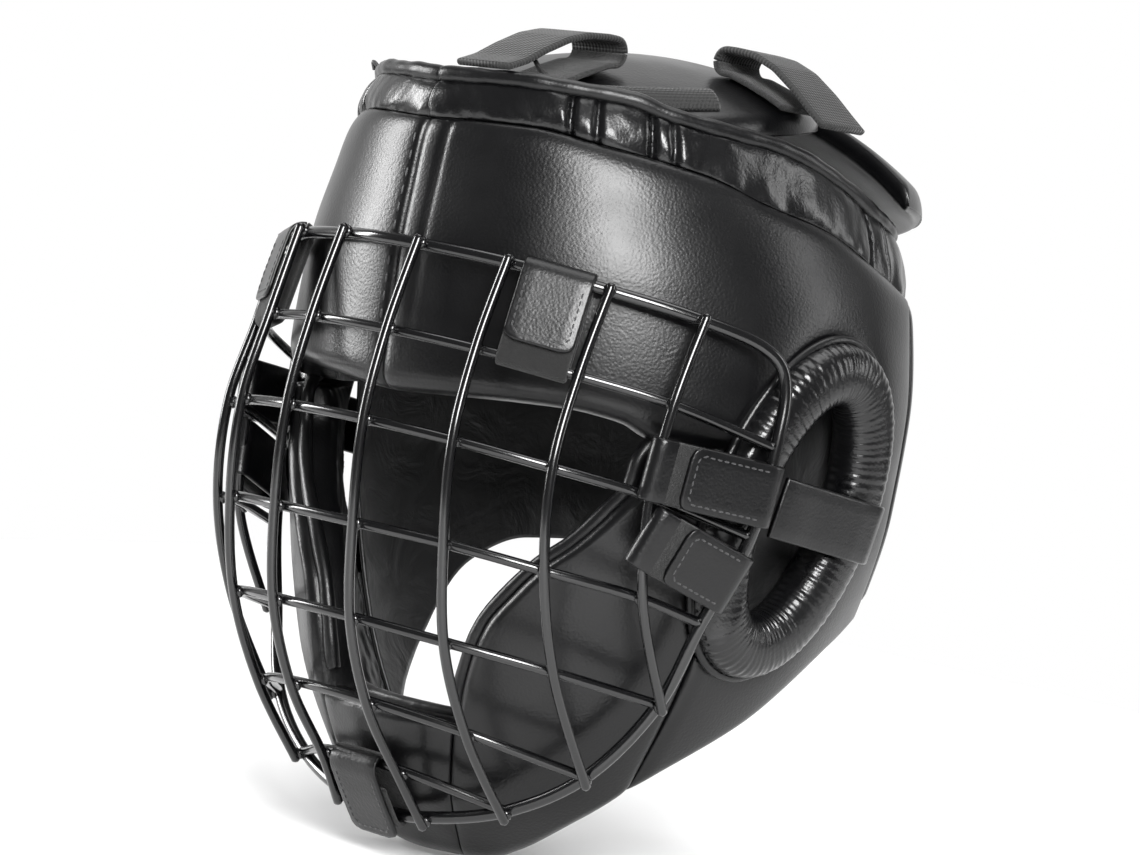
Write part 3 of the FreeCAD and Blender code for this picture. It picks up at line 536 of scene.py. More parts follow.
rearAngle = np.linspace(122.4, 237.6, 120)[:, None] * np.ones((1, 60))
folded = np.minimum(rearAngle, 360 - rearAngle)
share = np.linspace(0, 1, 60)[None]
rearHeight = monotone(jawLine, folded) + (monotone(seamLine, folded) - monotone(jawLine, folded)) * share
surface = shellPoint(rearAngle, rearHeight, 0.0)
fromLow = lengthsAlong(surface, 1)
fromStart = lengthsAlong(surface, 0)
rearDrop = (edgeRoll(fromLow, 6.0) + 2.2 * np.exp(-(fromLow[:, -1:] - fromLow) / 3)
            + 1.4 * np.exp(-fromStart / 2) + 1.4 * np.exp(-(fromStart[-1:] - fromStart) / 2))
rearOuter = shellPoint(rearAngle, rearHeight, -rearDrop + 0.6 * smoothNoise(surface, 120.0, 4, 2))
rear = twoSkin("shellPanelRear", rearOuter, shellPoint(rearAngle, rearHeight, padInner))
finishPiece(rear, leather, "shell", ("cover_rear", "foam_rear"))
print("shell panels")

# forehead centre seam: one row of stitches beside the joint
heights = np.linspace(24, 110, 80)
row = shellPoint(np.full(80, -1.35), heights, 0.1)
away = shellPoint(np.zeros(80), heights, 1) - shellPoint(np.zeros(80), heights, 0)
seamStitch = stitches("seamStitch", row, away, length=3.4, gap=2.6, radius=0.34, sink=0.05)
finishPiece(seamStitch, thread, "shell")

# ---- lining
liningTables = (("liningForehead", -67.5, 67.5, brimLine, ("lining_forehead",)),
                ("liningLeft", 68.4, 179.8, jawLine, ("lining_left",)))
for label, first, last, lowTable, replaced in liningTables:
    a = np.linspace(first, last, 140)[:, None] * np.ones((1, 80))
    low, high = monotone(lowTable, np.abs(a)), monotone(seamLine, np.abs(a))
    h = low + (high - low) * np.linspace(0, 1, 80)[None]
    base = shellPoint(a, h, -17.6)
    wrinkle = 0.5 * smoothNoise(base, 30.0, 5) + 0.9 * smoothNoise(base, 70.0, 6, 2)
    piece = twoSkin(label, shellPoint(a, h, -17.0), shellPoint(a, h, -18.4 + wrinkle * 0.6))
    finishPiece(piece, lining, "shell", replaced)
    if label == "liningLeft":
        finishPiece(mirrorCopy(piece, "liningRight"), lining, "shell", ("lining_right",))

# ---- gathered rim band and its piping
bandAngle = np.linspace(0.1, 179.9, 520)[:, None] * np.ones((1, 40))
bandShare = np.linspace(0, 1, 40)[None]
bandLow, bandHigh = monotone(seamLine, bandAngle) + 0.4, monotone(rimLine, bandAngle) - 2.2
bandHeight = bandLow + (bandHigh - bandLow) * bandShare
base = shellPoint(bandAngle, bandHeight, 0.0)
around = lengthsAlong(base, 0)
gathers = (np.sin(around / 4.3 + 2.2 * np.sin(around / 17.0) + 2.5 * bandShare)
           * (0.4 + 0.6 * bump(bandShare, 0.1, 0.35) + 0.4 * bump(bandShare, 0.95, 0.25)))
bandBulge = 2.2 * np.sqrt(np.clip(np.sin(math.pi * np.clip(bandShare * 0.96 + 0.02, 0, 1)), 0, 1)) - 3.4
tuckAngles = (33.0, 38.5, 49.5, 54.0, 104.0, 111.0)
tucks = sum(1.8 * bump(bandAngle, centre, 0.9) for centre in tuckAngles)
nearTuck = sum(bump(bandAngle, centre, 5.0) for centre in tuckAngles)
nearSeam = 0.25 + 0.75 * bump(bandShare, 0.0, 0.3) + 0.5 * bump(bandShare, 1.0, 0.2)
relief = (0.8 * gathers * np.clip(nearTuck + 0.4 * nearSeam, 0, 1) + 1.5 * smoothNoise(base, 34.0, 8, 2)
          + 0.45 * smoothNoise(base, 11.0, 9, 2) * np.clip(nearTuck + nearSeam, 0, 1))
bandOuter = shellPoint(bandAngle, bandHeight, bandBulge + relief - tucks)
bandInner = shellPoint(bandAngle, bandHeight, -9.0 + 0.3 * smoothNoise(base, 20.0, 10))
bandLeft = twoSkin("rimBandLeft", bandOuter, bandInner)
bandRight = mirrorCopy(bandLeft, "rimBandRight")
finishPiece(bandLeft, softLeather, "shell", ("rim_band_left",))
finishPiece(bandRight, softLeather, "shell", ("rim_band_right",))
for side, label in ((1, "Left"), (-1, "Right")):
    a = np.linspace(0.0, 180.0, 260)
    wander = 0.5 * np.sin(a / 7.0) + 0.4 * np.sin(a / 3.1 + side)
    rimPath = shellPoint(side * a, monotone(rimLine, a) + 0.25 * wander, -4.2 + 0.3 * wander)
    rim = tube("rimPiping" + label, rimPath, 2.9, swell=1 + 0.05 * np.sin(a * 0.31) + 0.04 * np.sin(a * 0.83))
    finishPiece(rim, piping, "shell", ("rim_piping_" + label.lower(),))
    stitchRows = []
    for centre in tuckAngles:
        share = np.linspace(0.08, 0.92, 24)
        low, high = monotone(seamLine, centre) + 0.4, monotone(rimLine, centre) - 2.2
        heights = low + (high - low) * share
        bulge = 2.2 * np.sqrt(np.sin(math.pi * share)) - 3.4 - 1.0
        row = shellPoint(np.full(24, side * centre), heights, bulge)
        away = shellPoint(np.full(24, side * centre), heights, bulge + 1) - row
        stitchRows.append(stitches("tuck", row, away, length=2.4, gap=1.4, radius=0.34, sink=0.0))
    finishPiece(join("tuckStitch" + label, stitchRows), thread, "shell")
print("rim band")

# ---- cheek pads, chin cup
v = np.linspace(0, 1, 150)[None] * np.ones((110, 1))
u = np.linspace(0, 1, 110)[:, None]
frontHeight = 12 - 152 * v
frontAngle = monotone(cheekLine, frontHeight)
cheekAngle = frontAngle + (67.6 - frontAngle) * u
cheekHeight = 12 + v * (monotone(jawLine, cheekAngle) - 12)
surface = shellPoint(cheekAngle, cheekHeight, 0.0)
fromFront = lengthsAlong(surface, 0)
fromTop = lengthsAlong(surface, 1)
toRear, toLow = fromFront[-1:] - fromFront, fromTop[:, -1:] - fromTop
freeEdge = np.clip((cheekHeight + 92) / 8, 0, 1)  # below this the pad is sewn to the chin cup
drop = (edgeRoll(fromFront, 5.5) * freeEdge + 0.9 * np.exp(-fromFront / 1.5) * (1 - freeEdge)
        + edgeRoll(toLow, 6.0) * 0.8 + 1.6 * np.exp(-toRear / 2.0) + 1.8 * np.exp(-fromTop / 2.5))
fullness = 1.0 * smoothNoise(surface, 80.0, 12, 2) * np.clip(fromFront / 20, 0, 1)
outer = shellPoint(cheekAngle, cheekHeight, -drop + fullness)
liningRelief = 1.2 * smoothNoise(surface, 24.0, 13) + 0.8 * smoothNoise(surface, 55.0, 14, 2)
innerOffset = -17.2 + np.clip(drop, 0, 6) + liningRelief * np.clip(fromFront / 10, 0, 1)
inner = shellPoint(cheekAngle, cheekHeight, innerOffset)
cheekHole = earDistance(surface) < 0
cheekLeft = openedSkin("cheekPadLeft", outer, inner, cheekHole)
cheekRight = mirrorCopy(cheekLeft, "cheekPadRight")
finishPiece(cheekLeft, leather, "shell", ("cheek_pad_left",))
finishPiece(cheekRight, leather, "shell", ("cheek_pad_right",))
for side, label in ((1, "Left"), (-1, "Right")):
    heights = np.linspace(17, -82, 140)
    tuckIn = np.clip((heights - 6) / 11, 0, 1) ** 2
    edgeAngle = monotone(cheekLine, heights) - 1.1 + 3.5 * tuckIn
    edgePath = shellPoint(side * edgeAngle, heights, -6.2 - 4.0 * tuckIn)
    roll = tube("cheekPiping" + label, edgePath, 2.5, swell=1.05 + 0.04 * np.sin(heights * 0.4))
    finishPiece(roll, piping, "shell", ("cheek_piping_" + label.lower(),))

a = np.linspace(-22.6, 22.6, 90)[:, None] * np.ones((1, 70))
share = np.linspace(0, 1, 70)[None]
low = monotone(jawLine, np.abs(a))
h = low + (-88.0 - low) * share
surface = shellPoint(a, h, 0.0)
fromLow, fromSide = lengthsAlong(surface, 1), lengthsAlong(surface, 0)
drop = (edgeRoll(fromLow, 6) + edgeRoll(fromLow[:, -1:] - fromLow, 6) + 0.9 * np.exp(-fromSide / 1.5)
        + 0.9 * np.exp(-(fromSide[-1:] - fromSide) / 1.5))
outer = shellPoint(a, h, -drop + 0.8 * smoothNoise(surface, 40.0, 15))
chin = twoSkin("chinCup", outer, shellPoint(a, h, -14.0 + np.clip(drop, 0, 4)))
finishPiece(chin, leather, "shell", ("chin_cup",))
low = monotone(jawLine, np.abs(a)) + 5
h = low + (-86.0 - low) * share
surface = shellPoint(a, h, -17.0)
fromLow = lengthsAlong(surface, 1)
drop = edgeRoll(fromLow, 2.5) + edgeRoll(fromLow[:, -1:] - fromLow, 2.5)
linerInner = shellPoint(a, h, -20.3 + drop + 0.8 * smoothNoise(surface, 18.0, 16))
chinLiner = twoSkin("chinLiner", shellPoint(a, h, -14.3 - drop), linerInner)
finishPiece(chinLiner, lining, "shell", ("chin_liner",))
print("cheek and chin pads")

# ---- crown: dome, rear leaf, lace
domeRadius, domeCentre = 161.0, np.array([0.0, 20.0, -15.5])


def domePoint(x, y, offset):
    # z = c + sqrt((R + o)^2 - r^2)
    reach = (x - domeCentre[0]) ** 2 + (y - domeCentre[1]) ** 2
    z = domeCentre[2] + np.sqrt((domeRadius + offset) ** 2 - reach)
    return np.stack(np.broadcast_arrays(x, y, z), -1)


def crownGrid(halfWidth, yLow, yHigh, yCut, cutLow, name, seed, count=110):
    # the oval x = w s cos q is cut at y = cut; rows run across, columns from front to back
    centreY, halfLength = (yLow + yHigh) / 2, (yHigh - yLow) / 2
    y0, y1 = (yCut, yHigh) if cutLow else (yLow, yCut)
    y = y0 + (y1 - y0) * (0.5 - 0.5 * np.cos(np.linspace(0.03, math.pi - 0.03, count)))[None]
    span = halfWidth * np.sqrt(np.clip(1 - ((y - centreY) / halfLength) ** 2, 0.002, 1))
    x = np.sin(np.linspace(-math.pi / 2, math.pi / 2, count))[:, None] * span
    y = y * np.ones_like(x)
    flat = np.minimum(span - np.abs(x), np.abs(y - y0) if cutLow else np.abs(y1 - y))
    rim = np.minimum(span - np.abs(x), (y1 - y) if cutLow else (y - y0))
    drop = edgeRoll(np.clip(rim, 0, None), 4.5) * 0.9 + 1.2 * np.exp(-np.clip(flat, 0, None) / 2.0)
    top = domePoint(x, y, -drop + 0.5 * smoothNoise(domePoint(x, y, 0), 70.0, seed, 2))
    bottom = domePoint(x, y, -8.0 + np.clip(drop, 0, 3))
    return twoSkin(name, top, bottom)


crown = crownGrid(72.0, -77.0, 77.0, 60.0, False, "crownPad", 20)
finishPiece(crown, leather, "shell", ("crown_pad",))
leaf = crownGrid(98.0, -92.0, 132.0, 60.3, True, "crownLeaf", 21)
finishPiece(leaf, leather, "shell", ("crown_leaf_rear",))

turn = np.radians(np.linspace(26, 74, 60))[:, None]
share = np.linspace(0, 1, 16)[None]
reach = 56 + 11.5 * share
x, y = reach * np.sin(turn), -reach * np.cos(turn)
roll = 4.2 * np.sqrt(np.clip(np.sin(math.pi * (0.06 + 0.88 * share)), 0, 1)) - 0.6
lace = twoSkin("crownLace", domePoint(x, y, roll), domePoint(x, y, 0.3 + 0 * roll))
finishPiece(lace, webbing, "shell", ("crown_lace",))


def arc(centre, reachOut, reachUp, start, end, steps=10):
    # c + (a cos q, b sin q)
    q = np.radians(np.linspace(start, end, steps + 1))
    return np.stack([centre[0] + reachOut * np.cos(q), centre[1] + reachUp * np.sin(q)], -1)


crownTabs = (
    ("Front", [(-76, 117.5), (-66, 124), (-55, 129.6), (-44, 134), (-34, 137.6)], (-31, 142.5), (4.0, 4.5),
     [(-36, 147.0), (-46, 146.2), (-56, 143.6), (-67, 138.6), (-76, 133.8), (-84, 131.0)],
     (15, 0, 0), (1, 0, 0), (0, 1, 0)),
    ("Side", [(-70, 131.6), (-62, 135.2), (-54, 138.2), (-45, 141.2)], (-42, 145.6), (4.0, 4.3),
     [(-47, 149.6), (-55, 148.4), (-64, 144.8), (-74, 138.0), (-82, 131.6), (-88, 127.0)],
     (0, 20, 0), (0, 1, 0), (-1, 0, 0)))
for label, under, centre, reaches, over, origin, across, outAxis in crownTabs:
    root = np.concatenate([under, arc(centre, *reaches, -80, -3)])
    tab = ribbon("crownTab" + label, root, across, outAxis, (0, 0, 1), origin, 25.0, 2.2)
    finishPiece(tab, pile, "shell", ("crown_tab_" + label.lower(),))
    flapPath = np.concatenate([arc(centre, *reaches, 3, 80), over])
    flap = ribbon("crownFlap" + label, flapPath, across, outAxis, (0, 0, 1), origin, 25.0, 2.4)
    finishPiece(flap, webbing, None, ("crown_flap_" + label.lower(),))
    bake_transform(flap)
# loose end of the lacing behind the rim, and a knot of thread on the rim's right side
lacePath = curvePoints([(30, -58, 120), (27, -62, 127), (22, -66, 134), (19, -66, 138)], 0.8)
laceEnd = tube("laceEnd", lacePath, 1.7, sides=10, swell=np.linspace(1.0, 0.35, len(lacePath)))
finishPiece(laceEnd, webbing, "shell")
knotAt = shellPoint(-50.0, monotone(rimLine, 50.0), -3.0)
knotSteps = ((0, 0, 1), (-1.5, -1, 4.5), (-3.5, -1.5, 6), (-4, 0, 3.5))
knotPath = curvePoints([knotAt + step for step in knotSteps], 0.6)
knot = tube("rimThreadKnot", knotPath, 0.8, sides=10)
finishPiece(knot, thread, "shell")
print("crown")

# ---- ear rings: fat pleated ovals with a piped outer edge
ringCount, sectionCount = 720, 40
q = np.linspace(0, 2 * math.pi, ringCount, endpoint=False)[:, None]
s = np.linspace(0, 2 * math.pi, sectionCount, endpoint=False)[None]
pleats = np.sin(97 * q + 1.6 * np.sin(7 * q)) * 0.5 + np.sin(61 * q + 2.5 * np.sin(5 * q)) * 0.4
middleUp, middleSide = 49.0, 27.2
rollWide, rollDeep = 10.6, 9.4
ringRelief = 0.26 * pleats * (0.15 + 0.85 * np.abs(np.cos(s)) ** 1.5) * np.clip(np.sin(s) + 0.8, 0, 1)
across = (rollWide + ringRelief) * np.sign(np.cos(s)) * np.abs(np.cos(s)) ** 0.85
above = (rollDeep + ringRelief) * np.sign(np.sin(s)) * np.abs(np.sin(s)) ** 0.85
lengthQ = np.hypot(middleSide * np.cos(q), middleUp * np.sin(q))
alongUp = middleUp * np.cos(q) + across * middleSide * np.cos(q) / lengthQ
alongSide = middleSide * np.sin(q) + across * middleUp * np.sin(q) / lengthQ
ringPoints = (earCentre + earUp * alongUp[..., None] + earSide * alongSide[..., None]
              + earNormal * (9.6 + above)[..., None])
# the rings give way where the grille's outer wire and its tabs lie over them
for wire, lengthwise, away in (((113.6, -27.6, 3.2), (-0.093, -0.082, -0.992), (0.9115, -0.408, -0.0517)),
                               ((106.9, -33.2, -27.0), (-0.289, -0.274, -0.917), (0.915, -0.3611, -0.1799))):
    offset = ringPoints - np.array(wire)
    over = offset @ np.array(away) + 5.0
    backward = offset @ np.cross(away, lengthwise)
    reachAlong = np.abs(offset @ np.array(lengthwise))
    share = np.clip((26 - reachAlong) / 6, 0, 1) * np.clip((14 - np.abs(backward)) / 6, 0, 1)
    ringPoints = ringPoints - np.array(away) * (np.clip(over, 0, None) * share)[..., None]
uv = np.stack(np.broadcast_arrays(q * 38, s * 10), -1).reshape(-1, 2) * mm
earRing = outwardFaces(newMesh("earRingLeft", ringPoints.reshape(-1, 3),
                               quadGrid(ringCount, sectionCount, 0, True, True), uv))
finishPiece(earRing, softLeather, "shell", ("ear_ring_left",))
earRingRight = mirrorCopy(earRing, "earRingRight")
finishPiece(earRingRight, softLeather, "shell", ("ear_ring_right",))


def ringPath(upReach, sideReach, lift, count=240):
    q = np.linspace(0, 2 * math.pi, count, endpoint=False)[:, None]
    return earCentre + earUp * upReach * np.cos(q) + earSide * sideReach * np.sin(q) + earNormal * lift


pipingPath = ringPath(60.4, 37.6, 8.6)
earPiping = tube("earPipingLeft", pipingPath, 1.7, closed=True, sides=10)
finishPiece(earPiping, piping, "shell")
finishPiece(mirrorCopy(earPiping, "earPipingRight"), piping, "shell")
stitchPath = ringPath(57.6, 35.0, 14.2, 300)
stitchNormals = np.tile(earNormal, (300, 1))
earStitch = stitches("earStitchLeft", stitchPath, stitchNormals, length=2.2, gap=1.5, radius=0.33)
finishPiece(earStitch, thread, "shell")
finishPiece(mirrorCopy(earStitch, "earStitchRight"), thread, "shell")

# smooth straps bowed over the rings and tucked down at both ends
strapOut = earNormal
strapAlong = np.array([0.10, 0.985, -0.16])
strapAlong -= strapOut * (strapAlong @ strapOut)
strapAlong /= np.linalg.norm(strapAlong)
strapAcross = np.cross(strapOut, strapAlong)
strapBase = earCentre + earNormal * 19.3 + np.array([0, 1.0, 0])
strapPath = [(0.4, -18.6), (1.0, -14), (1.2, -8), (1.0, 0), (1.2, 8), (1.3, 22), (0.2, 31), (-2.4, 35.5),
             (-5.2, 37.5)]
earStrap = ribbon("earStrapLeft", strapPath, strapAcross, strapOut, strapAlong, strapBase, 21.0, 2.0)
finishPiece(earStrap, leather, "shell", ("ear_strap_left",))
finishPiece(mirrorCopy(earStrap, "earStrapRight"), leather, "shell", ("ear_strap_right",))
print("ears")

# ---- wire grille
gridRows = [
    [(17, -103, 69), (47, -93, 67), (74.5, -74, 62.5), (96, -51, 57), (113, -23, 48)],
    [(17, -112, 40), (46.5, -102, 38), (73, -82, 34), (95, -60, 29), (114, -26, 18.5)],
    [(17.5, -117.5, 10), (48, -108.5, 8), (74, -90, 4), (92.5, -63, -1.5), (111, -29, -11.5)],
    [(18, -116.5, -24), (49, -107, -25.5), (75, -88, -29.5), (93, -60, -35), (102, -37, -42)],
    [(17.8, -111.5, -55.5), (48.5, -100.0, -58.0), (74.5, -76.0, -63.0), (92.0, -41.0, -71.0)],
    [(17.7, -98.0, -84.0), (48.5, -83.0, -88.7), (74.0, -51.5, -99.0)],
    [(17.8, -78.5, -108.0), (49.5, -60.0, -115.5)],
    [(20.5, -66.5, -124.0)]]
frameRadius, barRadius, uprightLift, barLift, endGap = 2.2, 1.75, 4.0, 0.4, 2.3


def hasCrossing(row, column):
    return 0 <= row < len(gridRows) and 1 <= abs(column) <= len(gridRows[row])


def crossing(row, column):
    x, y, z = gridRows[row][abs(column) - 1]
    return np.array([math.copysign(x, column), y, z])


def outward(row, column):
    # unit normal of the grille at a crossing
    ends = []
    for step in (-1, 1):
        near = column + step if column + step else column + 2 * step
        ends.append(crossing(row, near if hasCrossing(row, near) else column))
    heads = [crossing(r if hasCrossing(r, column) else row, column) for r in (row - 1, row + 1)]
    normal = np.cross(ends[1] - ends[0], heads[0] - heads[1])
    normal /= np.linalg.norm(normal)
    return -normal if normal[1] > 0.2 else normal


def lifted(row, column, lift):
    return crossing(row, column) + outward(row, column) * lift


def unit(vector):
    return vector / np.linalg.norm(vector)


flip = np.array([-1.0, 1.0, 1.0])
corner = crossing(0, 5)
beforeCorner = corner + unit(crossing(0, 4) - corner) * 11
afterCorner = corner + unit(crossing(1, 5) - corner) * 11
framePoints = [np.array([0, crossing(0, 1)[1] - 3.0, crossing(0, 1)[2] + 0.4])]
framePoints += [crossing(0, column) for column in (1, 2, 3, 4)]
framePoints += [beforeCorner, (beforeCorner + afterCorner) * 0.3 + corner * 0.4, afterCorner]
sidePlaces = ((1, 5), (2, 5), (3, 5), (4, 4), (5, 3), (6, 2), (7, 1))
framePoints += [crossing(row, column) for row, column in sidePlaces]
framePoints += [np.array([0, crossing(7, 1)[1] - 1.5, crossing(7, 1)[2] - 2.0])]
frameHalf = curvePoints(framePoints, 2.0, framePoints[1] * flip, framePoints[-2] * flip)
frameLoop = np.concatenate([frameHalf, frameHalf[-2:0:-1] * flip])
frameWire = tube("grilleFrame", frameLoop, frameRadius, closed=True)
finishPiece(frameWire, wireCoat, "grille", ("grille_frame",))
uprightPaths = {}
for column, label in ((1, "Inner"), (2, "Middle"), (3, "Outer"), (4, "Side")):
    bars = []
    for side in (1, -1):
        rows = [row for row in range(len(gridRows)) if hasCrossing(row, column)]
        points = [lifted(row, side * column, uprightLift) for row in rows]
        above, below = unit(points[0] - points[1]) * 2, unit(points[-1] - points[-2]) * 2
        points = [points[0] + above] + points + [points[-1] + below]
        path = curvePoints(points, 2.0)
        uprightPaths[(column, side)] = path
        swell = np.ones(len(path))
        swell[[0, -1]] = 0.6
        bars.append(tube("upright", path, barRadius, swell=swell))
    finishPiece(join("grilleUprights" + label, bars), wireCoat, "grille",
                ("grille_uprights_" + label.lower(),))
barPaths = {}
for row in range(1, 7):
    columns = [c for c in range(-5, 6) if c and hasCrossing(row, c)]
    points = [lifted(row, column, barLift) for column in columns]
    points[0] = points[0] + unit(points[1] - points[0]) * (endGap - 1.2)
    points[-1] = points[-1] + unit(points[-2] - points[-1]) * (endGap - 1.2)
    barPaths[row] = curvePoints(points, 2.0)
    finishPiece(tube("grilleCrossbar%d" % row, barPaths[row], barRadius), wireCoat, "grille",
                ("grille_crossbar_%d" % row,))

# weld beads: flattened balls where wires touch
beads = []
for row in range(8):
    for column in [c for c in range(-4, 5) if c and hasCrossing(row, c)]:
        normal = outward(row, column)
        centre = crossing(row, column) + normal * 2.2
        v = np.linspace(0.15, math.pi - 0.15, 8)[:, None]
        h = np.linspace(0, 2 * math.pi, 12, endpoint=False)[None]
        side = unit(np.cross(normal, (0, 0, 1)))
        up = np.cross(side, normal)
        ball = (centre + side * (2.3 * np.sin(v) * np.cos(h))[..., None]
                + up * (2.3 * np.sin(v) * np.sin(h))[..., None]
                + normal * (1.5 * np.cos(v) * np.ones_like(h))[..., None])
        beads.append(ball.reshape(-1, 3))
faces = []
for k in range(len(beads)):
    faces += quadGrid(8, 12, k * 96, closedColumns=True)
    faces += [tuple(range(k * 96, k * 96 + 12))[::-1], tuple(range(k * 96 + 84, k * 96 + 96))]
welds = outwardFaces(newMesh("grilleWelds", np.concatenate(beads), faces))
finishPiece(welds, wireCoat, "grille")
print("grille")

# ---- tabs that hold the grille
strapThick, hug = 1.4, 0.35 + 0.7


def nearest(path, target):
    index = int(np.argmin(np.linalg.norm(path - target, axis=1)))
    tangent = path[min(index + 1, len(path) - 1)] - path[max(index - 1, 0)]
    return path[index], unit(tangent)


def grilleTab(label, replacedTab, replacedFlap, first, firstRadius, tangent, second, secondRadius, hint,
              width, tail):
    # leg round the second wire and half round the first, where the flap folds over and comes back down
    across = unit(tangent)
    reach = first - second
    up = unit(reach - across * (reach @ across))
    out = np.cross(across, up)
    if out @ np.asarray(hint) < 0:
        across, out = -across, -out
    lift, drop = (second - first) @ out, (second - first) @ up
    front = max(lift + secondRadius, firstRadius) + hug
    root = np.concatenate([
        [(front, -9.0), (front, -14.0)], arc((lift, drop), front - lift, secondRadius + hug, 0, -90),
        arc((lift, drop), secondRadius + hug, secondRadius + hug, -105, -180),
        arc((0, 0), firstRadius + hug, firstRadius + hug, 180, 92)])
    cover = front + strapThick + 0.3
    q = np.radians(np.linspace(0, 90, 12))
    fold = np.stack([0.25 + (cover - 0.25) * np.sin(q), -2 + (firstRadius + hug + 2) * np.cos(q)], -1)
    flapPath = np.concatenate([fold, [(cover + 0.3, drop * 0.5), (cover + 0.1, drop + tail)]])
    tab = ribbon("tab" + label, root, across, out, up, first, width, strapThick + 0.4)
    finishPiece(tab, pile, "shell", (replacedTab,))
    if tail > 5:  # the side legs have leather round the fold and pile only under the flap
        tab.data.materials.append(leather)
        straight = -drop - 9 - 5
        sides = 22
        stations = len(tab.data.vertices) // sides
        pathLength = np.linalg.norm(np.diff(root, axis=0), axis=1).sum()
        edgeRow = int(straight / pathLength * stations)
        for polygon in tab.data.polygons:
            polygon.material_index = int(min(polygon.vertices) // sides > edgeRow)
    flap = ribbon("flap" + label, flapPath, across, out, up, first, width, strapThick + 0.2,
                  roundEnd=width * 0.16)
    tailEnd = drop + tail
    inset = width / 2 - 2.4
    s = np.linspace(-3, tailEnd + 4.5, 30)
    border = np.concatenate([
        np.stack([np.full(30, -inset), s], -1), np.stack([[-inset + 1.8], [tailEnd + 2.6]], -1),
        np.stack([[inset - 1.8], [tailEnd + 2.6]], -1), np.stack([np.full(30, inset), s[::-1]], -1)])
    rise = np.interp(-border[:, 1], (2, -drop * 0.5, -tailEnd), (cover, cover + 0.3, cover + 0.1))
    rise = rise + strapThick / 2 + 0.2
    line = first + np.outer(border[:, 0], across) + np.outer(rise, out) + np.outer(border[:, 1], up)
    rows = [stitches("edge", line, np.tile(out, (len(line), 1)), length=1.9, gap=0.7, radius=0.3, sink=0.1)]
    edgeThread = join("flapStitch" + label, rows)
    body = replacedFlap + "_body"
    finishPiece(flap, leather, None, (replacedFlap,))
    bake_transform(flap)
    finishPiece(edgeThread, paleThread, body)


for side, label in ((1, "Left"), (-1, "Right")):
    lower = label.lower()
    start, along = nearest(frameLoop, (crossing(0, 2 * side) + crossing(0, 3 * side)) * 0.5)
    end, _ = nearest(barPaths[1], (crossing(1, 2 * side) + crossing(1, 3 * side)) * 0.5)
    grilleTab("Forehead" + label, "forehead_tab_" + lower, "forehead_flap_" + lower, start, frameRadius,
              along, end, barRadius, outward(0, 2 * side), 24.0, 5.0)
    for name, upper in (("Upper", 1), ("Lower", 2)):
        start, along = nearest(frameLoop, (crossing(upper, 5 * side) + crossing(upper + 1, 5 * side)) * 0.5)
        inward = (crossing(upper, 4 * side) + crossing(upper + 1, 4 * side)) * 0.5
        end, _ = nearest(uprightPaths[(4, side)], inward)
        stem = name.lower() + "_" + lower
        grilleTab("Side" + name + label, "side_tab_" + stem, "side_flap_" + stem, start, frameRadius,
                  along, end, barRadius, (side, -0.4, 0), 21.0, 9.0)
start, along = nearest(barPaths[6], np.array([0, -78.5, -108.0]))
end, _ = nearest(frameLoop, framePoints[-1])
grilleTab("Chin", "chin_tab", "chin_flap", start, barRadius, along, end, frameRadius, (0, -1, -0.5),
          22.0, -6.0)
print("tabs")

# ---- rear closure
closure = (("rearStrap", 150.0, 192.0, 0.3, 1.8, "rear_strap", pile, "shell"),
           ("rearFlap", 160.0, 204.0, 2.1, 3.6, "rear_flap", webbing, None))
for label, first, last, low, high, replaced, cloth, body in closure:
    a = np.linspace(first, last, 90)[:, None] * np.ones((1, 40))
    h = np.linspace(5, 43, 40)[None] * np.ones((90, 1))
    piece = twoSkin(label, shellPoint(a, h, high), shellPoint(a, h, low))
    finishPiece(piece, cloth, body, (replaced,))
    if label == "rearFlap":
        start, end = shellPoint(203.5, 24.0, 2.8), shellPoint(196.0, 24.0, 2.8)
        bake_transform(piece)
print("rear closure")

# ---- floor, light and camera
floorMesh = newMesh("floor", [(-700, -700, -142), (700, -700, -142), (700, 700, -142), (-700, 700, -142)],
                    [(0, 1, 2, 3)])
floorMesh.data.materials.append(floorPaint)


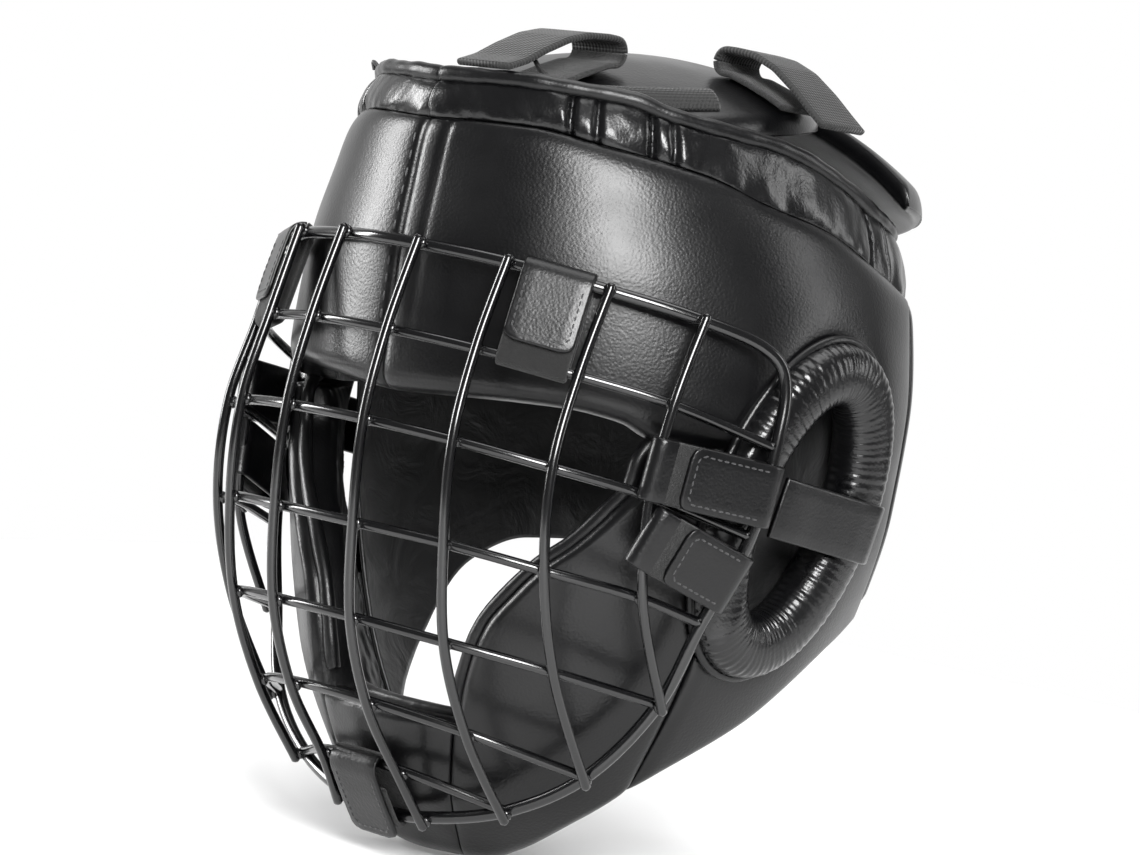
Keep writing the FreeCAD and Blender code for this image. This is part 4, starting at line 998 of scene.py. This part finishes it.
def softBox(name, place, target, size, power):
    data = bpy.data.lights.new(name, "AREA")
    data.shape = "RECTANGLE"
    data.size, data.size_y = size
    data.energy = power
    lamp = bpy.data.objects.new(name, data)
    lamp.location = place
    lamp.rotation_euler = (Vector(target) - Vector(place)).to_track_quat("-Z", "Y").to_euler()
    scene.collection.objects.link(lamp)


softBox("keyLight", (1.15, -0.95, 0.72), (0, 0, 0.05), (0.6, 0.8), 52)
softBox("leftLight", (-1.35, -0.75, 0.45), (0, 0, 0.02), (0.35, 1.0), 30)
softBox("rimLight", (1.1, 0.9, 0.5), (0, 0, 0.0), (0.3, 1.0), 6)
softBox("topLight", (0.0, 0.2, 2.0), (0, 0, 0), (1.6, 1.6), 26)
world = bpy.data.worlds.new("studio")
scene.world = world
world.use_nodes = True
worldTree = world.node_tree
# bright sheet hung behind the piece, dim room everywhere else
direction = addNode(worldTree, "ShaderNodeTexCoord")
facing = addNode(worldTree, "ShaderNodeVectorMath", {"operation": "DOT_PRODUCT"},
                 {"Vector": (direction, "Generated")})
facing.inputs[1].default_value = (-0.653, 0.755, 0.06)
sheet = addNode(worldTree, "ShaderNodeMapRange", {
    "interpolation_type": "SMOOTHSTEP", "From Min": 0.45, "From Max": 0.9, "To Min": 0.18, "To Max": 1.0},
    {"Value": (facing, "Value")})
worldTree.nodes["Background"].inputs["Color"].default_value = (1, 1, 1, 1)
worldTree.links.new(sheet.outputs["Result"], worldTree.nodes["Background"].inputs["Strength"])

cameraData = bpy.data.cameras.new("camera")
cameraData.lens = 3315.2 / 1140 * 36
cameraData.sensor_width = 36
cameraData.clip_start = 0.05
camera = bpy.data.objects.new("camera", cameraData)
right = Vector((0.74389, 0.65415, 0.13679))
upward = Vector((-0.14344, -0.04363, 0.9887))
backward = right.cross(upward)
turned = Matrix((right, upward, backward)).transposed().to_4x4()
turned.translation = Vector((0.7734, -0.8927, 0.0830))
camera.matrix_world = turned
scene.collection.objects.link(camera)
scene.camera = camera
scene.view_settings.view_transform = "Standard"
